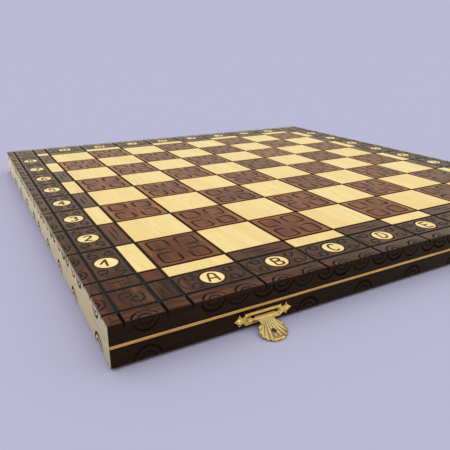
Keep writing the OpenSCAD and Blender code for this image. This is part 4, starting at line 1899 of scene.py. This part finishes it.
@dataclass(frozen=True)
class ClaspPlate:
    """The stamped plate of a clasp with its two lugs, round the middle of its pin.

    Its sizes are in millimetres: half the window's width and height, the sheet the plate is pressed
    from, the lugs' length, radius and bore, and the spacing of the loose points that carry the relief.
    """

    perch: Perch
    window: Pair = (10.4, 1.9)
    thick: float = 0.55
    chamfer: float = 0.12
    lug_length: float = 2.2
    lug: float = 1.7
    bore: float = 0.85
    foot: float = 1.15
    grid: Pair = (0.34, 0.24)
    tarnish: float = 0.7

    def outline(self) -> Path:
        """The plate's edge, anticlockwise."""
        half = [(0, 3.9), (6.5, 3.95), (13.1, 3.85), (13.9, 4.1)]
        half += arc((15.75, 3.75), (1.75, 1.95), 178, 300, 9)
        half += [(17.3, 2.7), (17.8, 3.5), (18.3, 4.3), (18.6, 3.4), (19.1, 2.3), (20.1, 1.35), (22, 0.1)]
        half += [(20.1, -1.1), (19.2, -2.2), (18.8, -3.4), (18.4, -4.4), (17.4, -3.5)]
        half += arc((15.8, -4.3), (1.7, 1.6), 25, 182, 9)
        half += [(13.6, -4.6), (7, -4.5), (0, -4.5)]
        return ([(-x, y) for x, y in half[:0:-1]] + half)[::-1][:-1]

    @staticmethod
    def relief(points: np.ndarray) -> np.ndarray:
        """Height of the stamped face over the wood.

        Args:
            points: Points on the plate.

        Returns:
            The height at each point: four ridges, of which one is reeded, and a leaf at either end.
        """
        x, y = np.abs(points[:, 0]), points[:, 1]

        def ridge(middle: float, half: float) -> np.ndarray:
            """A rounded ridge along the plate."""
            return np.sqrt(np.clip(1 - ((y - middle) / half) ** 2, 0, 1))

        body = np.clip((13.6 - x) / 0.6, 0, 1)
        reeds = 0.72 + 0.28 * np.cos(2 * math.pi * points[:, 0] / 1.05 + 1.2 * y)
        height = 0.7 + body * (0.5 * ridge(2.3, 0.42) + 0.42 * reeds * ridge(3.2, 0.5))
        height += body * (0.3 * ridge(-2.3, 0.36) + 0.16 * ridge(-3.6, 0.75))
        leaf = np.exp(-((x - 19.2) ** 2 / 3.2 + y ** 2 / 4.5))
        waist = np.clip((x - 13.2) / 0.8, 0, 1) * np.exp(-((y + 0.2) ** 2) / 1.6)
        veins = 0.1 * np.cos(5 * np.arctan2(y, x - 15.5))
        return height + (0.3 + veins) * leaf + 0.22 * waist

    def sheet(self) -> Sheet:
        """Stamps the plate's face.

        Returns:
            The face with its window, whose depth is measured from the plate's back.
        """
        outline = self.outline()
        wide, tall = self.window
        hole = [(-wide, -tall), (-wide, tall), (wide, tall), (wide, -tall)]
        pricks = [(18.35, 2.1), (16.8, -0.95), (20.3, 0.1), (18.4, -2.5), (15.6, 0.5)]
        dots = [(side * x, y) for side in (-1, 1) for x, y in pricks]
        strokes = [Stroke([(x - 0.12, y), (x + 0.12, y)], 0.75, 0.3, 1.0, 0.9) for x, y in dots]
        columns, rows = np.arange(-21.7, 21.8, self.grid[0]), np.arange(-4.4, 4.2, self.grid[1])
        loose = np.array([(x, y) for x in columns for y in rows])
        loops = [np.array(outline), np.array(hole)]
        gap = distance_to_loops(loose, loops)
        keep = inside_loop(loose, loops[0]) & ~inside_loop(loose, loops[1]) & (gap > self.chamfer)
        sheet = Engraving(outline, strokes, [hole], spread=loose[keep].tolist()).build()
        height = self.relief(sheet.points)
        sheet.depth = sheet.depth - height
        sheet.burn = np.maximum(sheet.burn, self.tarnish * np.clip((0.86 - height) / 0.2, 0, 1))
        return sheet

    def build(self, node: str) -> None:
        """Makes the plate in place of its solid.

        Args:
            node: The solid.
        """
        carving = Carving(node + "_stamped")
        sheet = self.sheet()
        points, faces, burn = block_from_sheet(sheet, self.thick, 0.0, self.chamfer)
        points[:len(sheet.points), 2] -= self.thick
        carving.add(self.perch.on_face(points), faces, burn)
        for side in (-1, 1):
            low, high = sorted((side * self.window[0], side * (self.window[0] + self.lug_length)))
            points, faces, burn = roll((low, high), self.lug, self.bore, 200, 520)
            carving.add(self.perch.on_face(points + (0, 0, self.perch.out)), faces, burn)
            top = self.perch.out - 0.75
            foot = slab((low + 0.1, -self.foot, 0.4), (high - 0.1, self.foot, top), 0.1)
            carving.add(self.perch.on_face(foot[0]), *foot[1:])
        carving.build(BRASS, "near_half", "polished_brass", node, sharp=SHARP_BRASS)


@dataclass(frozen=True)
class ClaspFlap:
    """The shell-shaped flap of a clasp, round its pin, with ribs that run out into its scalloped edge.

    Its sizes are in millimetres and degrees: how far it leans out, the lobes of its edge and the angle
    between them, the shell's middle under the pin with its half width and length, how the lower part
    curls, the hole for the knob, the knuckle round the pin and the thumb tab's two corners.
    """

    perch: Perch
    lift: float = 62.0
    lobes: int = 11
    fan: float = 24.4
    middle: float = 11.2
    wide: float = 9.9
    long: float = 8.9
    curl: float = 20.0
    curl_from: float = 8.5
    reach: float = 20.4
    hole_down: float = 12.0
    hole: float = 1.95
    hole_margin: float = 0.25
    knuckle: tuple[float, float, float] = (8.0, 1.5, 0.85)
    tab_low: Colour = (-3.2, -19.6, 0.0)
    tab_high: Colour = (3.2, -18.0, 1.8)
    columns: int = 8
    rows: int = 17

    def edge(self, t: np.ndarray) -> np.ndarray:
        """Points on the scalloped edge, where t counts the lobes from the left."""
        turn = np.radians((t - (self.lobes - 1) / 2) * self.fan)
        part = t - np.round(t)
        shrink = 1 - 0.21 * (1 - np.sqrt(1 - (1.7 * part) ** 2))
        across = self.wide * np.sin(turn) * shrink
        return np.column_stack([across, -self.middle - self.long * np.cos(turn) * shrink])

    def fan_points(self, t: np.ndarray, v: np.ndarray) -> np.ndarray:
        """Points that run from the pin at v = 0 to the scalloped edge at v = 1."""
        share = (t - (self.lobes - 1) / 2) / (self.lobes / 2)
        root = np.column_stack([6.9 * share, np.full(len(t), -0.8)])
        waist = np.column_stack([4.5 * share, np.full(len(t), -3.6)])
        v = v[:, None]
        return (1 - v) ** 2 * root + 2 * v * (1 - v) * waist + v ** 2 * self.edge(t)

    @staticmethod
    def relief(t: np.ndarray, v: np.ndarray) -> np.ndarray:
        """Height of the ribs, at a lobe t and a share v of the way to the edge."""
        part = t - np.round(t)
        rib = (np.sqrt(1 - (1.7 * part) ** 2) - 0.527) / 0.473
        swell = np.clip((v - 0.12) / 0.5, 0, 1)
        swell = swell * swell * (3 - 2 * swell)
        brow = np.sqrt(np.clip(1 - ((v - 0.86) / 0.14).clip(0, 1) ** 2, 0.15, 1))
        return (0.1 + 0.2 * rib) * swell * brow

    def lay(self, points: np.ndarray) -> np.ndarray:
        """Curls the hanging flap and lifts it to where it rests.

        Args:
            points: Points along, up and out of the flat flap.

        Returns:
            The points in the frame.
        """
        along, up, out = points.T
        way = np.linspace(0, self.reach + 2, 90)
        turn = np.radians(self.curl) * np.clip((way - self.curl_from) / (self.reach - self.curl_from), 0, 1)
        step = way[1] - way[0]
        down = np.concatenate([[0], np.cumsum(np.cos(turn[:-1]) * step)])
        lifted = np.concatenate([[0], np.cumsum(np.sin(turn[:-1]) * step)])
        here = np.interp(-up, way, turn)
        curled_up = np.where(up > 0, up, -np.interp(-up, way, down) + out * np.sin(here))
        curled_out = np.interp(-up, way, lifted) + out * np.cos(here)
        cos, sin = math.cos(math.radians(self.lift)), math.sin(math.radians(self.lift))
        raised = (along, curled_up * cos + curled_out * sin, -curled_up * sin + curled_out * cos)
        return self.perch.on_face(np.column_stack(raised) + (0, 0, self.perch.out))

    def sheet(self) -> Sheet:
        """Presses the shell flat.

        Returns:
            The shell with its hole, whose ribs stand up.
        """
        low, high = -0.5, self.lobes - 0.5
        t, v = np.linspace(low, high, self.lobes * self.columns + 1), np.linspace(0, 1, self.rows)
        grid_t, grid_v = (a.ravel() for a in np.meshgrid(t, v[:-1]))
        table = self.fan_points(grid_t, grid_v)
        left = self.fan_points(np.full(self.rows - 1, low), v[:-1])
        right = self.fan_points(np.full(self.rows - 1, high), v[-2::-1])
        outline = np.vstack([left, self.edge(t), right])
        away = np.hypot(table[:, 0], table[:, 1] + self.hole_down) > self.hole + self.hole_margin
        inner = (grid_t > low) & (grid_t < high) & (grid_v > 0) & away
        hole = arc((0, -self.hole_down), self.hole, 360, 12, 30)
        sheet = Engraving(outline.tolist(), (), [hole], spread=table[inner].tolist()).build()
        table = np.vstack([table, self.edge(t)])
        heights = np.append(self.relief(grid_t, grid_v), self.relief(t, np.ones(len(t))))
        weight = 1 / (np.linalg.norm(sheet.points[:, None] - table[None], axis=2) + 1e-4) ** 4
        height = (weight * heights).sum(1) / weight.sum(1)
        sheet.depth = -height
        low_part = np.clip((-sheet.points[:, 1] - 4) / 6, 0, 1)
        sheet.burn = 0.3 * np.clip((0.14 - height) / 0.14, 0, 1) * low_part
        return sheet

    def build(self, node: str, body: str) -> None:
        """Makes the flap in place of its solid.

        Args:
            node: The solid.
            body: The body it rides on.
        """
        carving = Carving(node + "_stamped")
        half, outer, bore = self.knuckle
        for points, faces, burn in (
            block_from_sheet(self.sheet(), 0.12, -0.45, 0.1), roll((-half, half), outer, bore, 205, 535),
            slab(self.tab_low, self.tab_high, 0.16),
        ):
            carving.add(self.lay(points), faces, burn)
        carving.build(BRASS, body, "polished_brass", node, sharp=SHARP_BRASS)


def build_clasps(layout: Layout) -> None:
    """Makes the plates and flaps of both clasps."""
    for flank in ("left", "right"):
        perch = Perch.of(flank, layout)
        ClaspPlate(perch).build(f"{flank}_clasp_plate")
        ClaspFlap(perch).build(f"{flank}_clasp_flap", f"{flank}_flap")


# ---- Felt and carried-over solids ----


@dataclass(frozen=True)
class FeltLining:
    """The felt that is glued under a half's panel, slightly uneven as felt is."""

    half: Half
    columns: int = 126
    rows: int = 60
    lint: float = 0.12
    lint_seed: int = 11

    def under(self, across: np.ndarray, along: np.ndarray) -> np.ndarray:
        """How far the felt's lower face stands back, in millimetres."""
        wave = np.sin(across / 17 + np.cos(along / 23) * 1.3) * np.sin(along / 13 + across / 41)
        lint = np.random.default_rng(self.lint_seed).uniform(0, 1, across.shape)
        return self.lint + 0.1 * wave + self.lint * lint

    def faces(self) -> list[list[int]]:
        """Joins the two faces of the felt and closes their rim.

        Returns:
            The faces, by the points' numbers.
        """
        columns, rows = self.columns, self.rows
        total = columns * rows
        faces = []
        for a in (r * columns + c for r in range(rows - 1) for c in range(columns - 1)):
            quad = [a, a + 1, a + columns + 1, a + columns]
            faces += [quad, [k + total for k in reversed(quad)]]
        bottom, top = list(range(columns)), list(range(total - columns, total))
        left, right = list(range(0, total, columns)), list(range(columns - 1, total, columns))
        for ring, turned in ((bottom, False), (right, False), (top, True), (left, True)):
            for a, b in zip(ring, ring[1:]):
                face = [a, a + total, b + total, b]
                faces.append(face[::-1] if turned else face)
        return faces

    def build(self) -> None:
        """Makes the felt."""
        node, panel = self.half.node("felt"), self.half.node("panel")
        low, high = box_mm(node)
        across, along = np.meshgrid(
            np.linspace(low.x, high.x, self.columns), np.linspace(low.y, high.y, self.rows)
        )
        heights = [np.full(across.shape, high.z), low.z + self.under(across, along)]
        points = np.column_stack([np.tile(a.ravel(), 2) for a in (across, along)] + [np.ravel(heights)])
        carving = Carving(self.half.node("felt_lining"))
        carving.add(points, self.faces(), np.zeros(len(points)))
        piece = carving.build(FELT, self.half.body, "felt", node, sharp=SHARP_FELT)


def dress_solids() -> None:
    """Gives every solid that is shown as it is its finish."""
    by_half = {
        END_RAIL_WOOD: "hinge_rail", PLYWOOD: "panel", CRADLE_WOOD: "cradle_strips", LINE_WOOD: "pale_line",
    }
    by_flank = {
        BRASS: "clasp_pin clasp_nails catch_plate catch_knob catch_nails",
        HINGE_BRASS: "hinge_near_leaf hinge_near_screws hinge_far_leaf hinge_far_screws",
        STEEL: "hinge_pin",
    }
    for sides, finishes in ((("near", "far"), by_half), (("left", "right"), by_flank)):
        for side in sides:
            for finish, names in finishes.items():
                for name in names.split():
                    finish.dress(bpy.data.objects[f"{side}_{name}"])


# ---- Studio ----


@dataclass(frozen=True)
class Studio:
    """A plain room: soft even light, a pale floor and the camera where the photograph was taken from.

    Gloss sees a dimmer room than matt surfaces do, which is brightest to the side and falls off
    upwards; gloss_fall is the height share and the light at both ends of that fall.
    """

    backdrop: Colour = srgb(188, 186, 212)
    air: Colour = (0.98, 0.98, 1.0)
    air_light: float = 0.7
    gloss: Colour = (1.0, 0.92, 0.7)
    gloss_fall: tuple[float, float, float, float] = (0.2, 0.5, 1.0, 0.12)
    floor_bounce: Colour = (0.98, 0.91, 0.7)
    floor_light: float = 1.17
    floor_reach: float = 6.0
    floor_gap: float = 0.0002
    key_from: Colour = (-0.3, -0.1, 1.0)
    key_spread: float = 92
    key_light: float = 1.6
    lens: float = 37.593
    sensor: float = 36
    camera_at: Colour = (-0.3108326, -0.4862078, 0.1698478)
    camera_right: Colour = (0.8744873, -0.4850371, 0.0033151)
    camera_ahead: Colour = (0.4551916, 0.8182787, -0.3510280)

    def light_world(self) -> None:
        """Fills the room with soft plain light, and shows the camera the backdrop's colour."""
        shader = Shader("studio", world=True)
        bpy.context.scene.world = shader.owner
        rays = shader.node("ShaderNodeLightPath")
        way = shader.node("ShaderNodeTexCoord")["Generated"]
        up = shader.node("ShaderNodeSeparateXYZ", {}, {0: way})["Z"]
        fall = shader.node("ShaderNodeMapRange", {}, dict(enumerate((up, *self.gloss_fall))))[0]
        shown = shader.node("ShaderNodeBackground", {}, {"Color": self.air, "Strength": self.air_light})[0]
        seen = ((self.gloss, fall, "Is Glossy Ray"), (self.backdrop, 1.0, "Is Camera Ray"))
        for colour, strength, ray in seen:
            light = shader.node("ShaderNodeBackground", {}, {"Color": colour, "Strength": strength})[0]
            shown = shader.node("ShaderNodeMixShader", {}, {0: rays[ray], 1: shown, 2: light})[0]
        shader.node("ShaderNodeOutputWorld", {}, {0: shown})

    def hang_key(self) -> None:
        """Hangs a soft lamp so far away that its light is even."""
        lamp = bpy.data.lights.new("key", "SUN")
        lamp.angle = math.radians(self.key_spread)
        lamp.energy = self.key_light
        holder = bpy.data.objects.new("key", lamp)
        holder.location = self.key_from
        holder.rotation_mode = "QUATERNION"
        holder.rotation_quaternion = (-Vector(self.key_from)).to_track_quat("-Z", "Y")
        bpy.context.scene.collection.objects.link(holder)

    def lay_floor(self) -> None:
        """Lays the plain pale floor that takes the object's shadow."""
        shader = Shader("floor_paper")
        paper = tuple(channel / self.floor_light for channel in self.backdrop)
        colour = shader.mix(self.floor_bounce, paper, shader.node("ShaderNodeLightPath")["Is Camera Ray"])
        paper = shader.surface({"Base Color": colour, "Roughness": 1.0, "Specular IOR Level": 0.0})
        mesh = bpy.data.meshes.new("floor")
        reach, height = self.floor_reach, CAD_BOX[0].z - self.floor_gap
        corners = [(x * reach, y * reach, height) for x, y in ((-1, -1), (1, -1), (1, 1), (-1, 1))]
        mesh.from_pydata(corners, [], [(0, 1, 2, 3)])
        mesh.materials.append(paper)
        floor = bpy.data.objects.new("floor", mesh)
        bpy.context.scene.collection.objects.link(floor)

    def set_camera(self) -> None:
        """Puts the camera where the photograph was taken from."""
        lens = bpy.data.cameras.new("camera")
        lens.lens = self.lens
        lens.sensor_width = self.sensor
        lens.clip_start, lens.clip_end = 0.01, 50
        camera = bpy.data.objects.new("camera", lens)
        right, ahead = Vector(self.camera_right), Vector(self.camera_ahead)
        turn = Matrix((right, right.cross(ahead), -ahead)).transposed().to_4x4()
        camera.matrix_world = Matrix.Translation(self.camera_at) @ turn
        bpy.context.scene.collection.objects.link(camera)
        bpy.context.scene.camera = camera

    def build(self) -> None:
        """Sets up the room."""
        self.light_world()
        self.lay_floor()
        self.hang_key()
        self.set_camera()


# ---- Run ----


def main() -> None:
    """Builds everything that is shown."""
    logging.basicConfig(level=logging.INFO, format="%(levelname)s %(message)s")
    bpy.context.scene.view_settings.view_transform = "Standard"
    layout = Layout.from_frame()
    LOG.info("layout: %s", layout)
    for number, half in enumerate(Half):
        VeneerFields(layout, half, random.Random(VENEER_SEED + number)).build()
        Rails(layout, half, random.Random(RAIL_SEED + number)).build()
        FeltLining(half).build()
    build_clasps(layout)
    dress_solids()
    Studio().build()


if __name__ == "__main__":
    main()
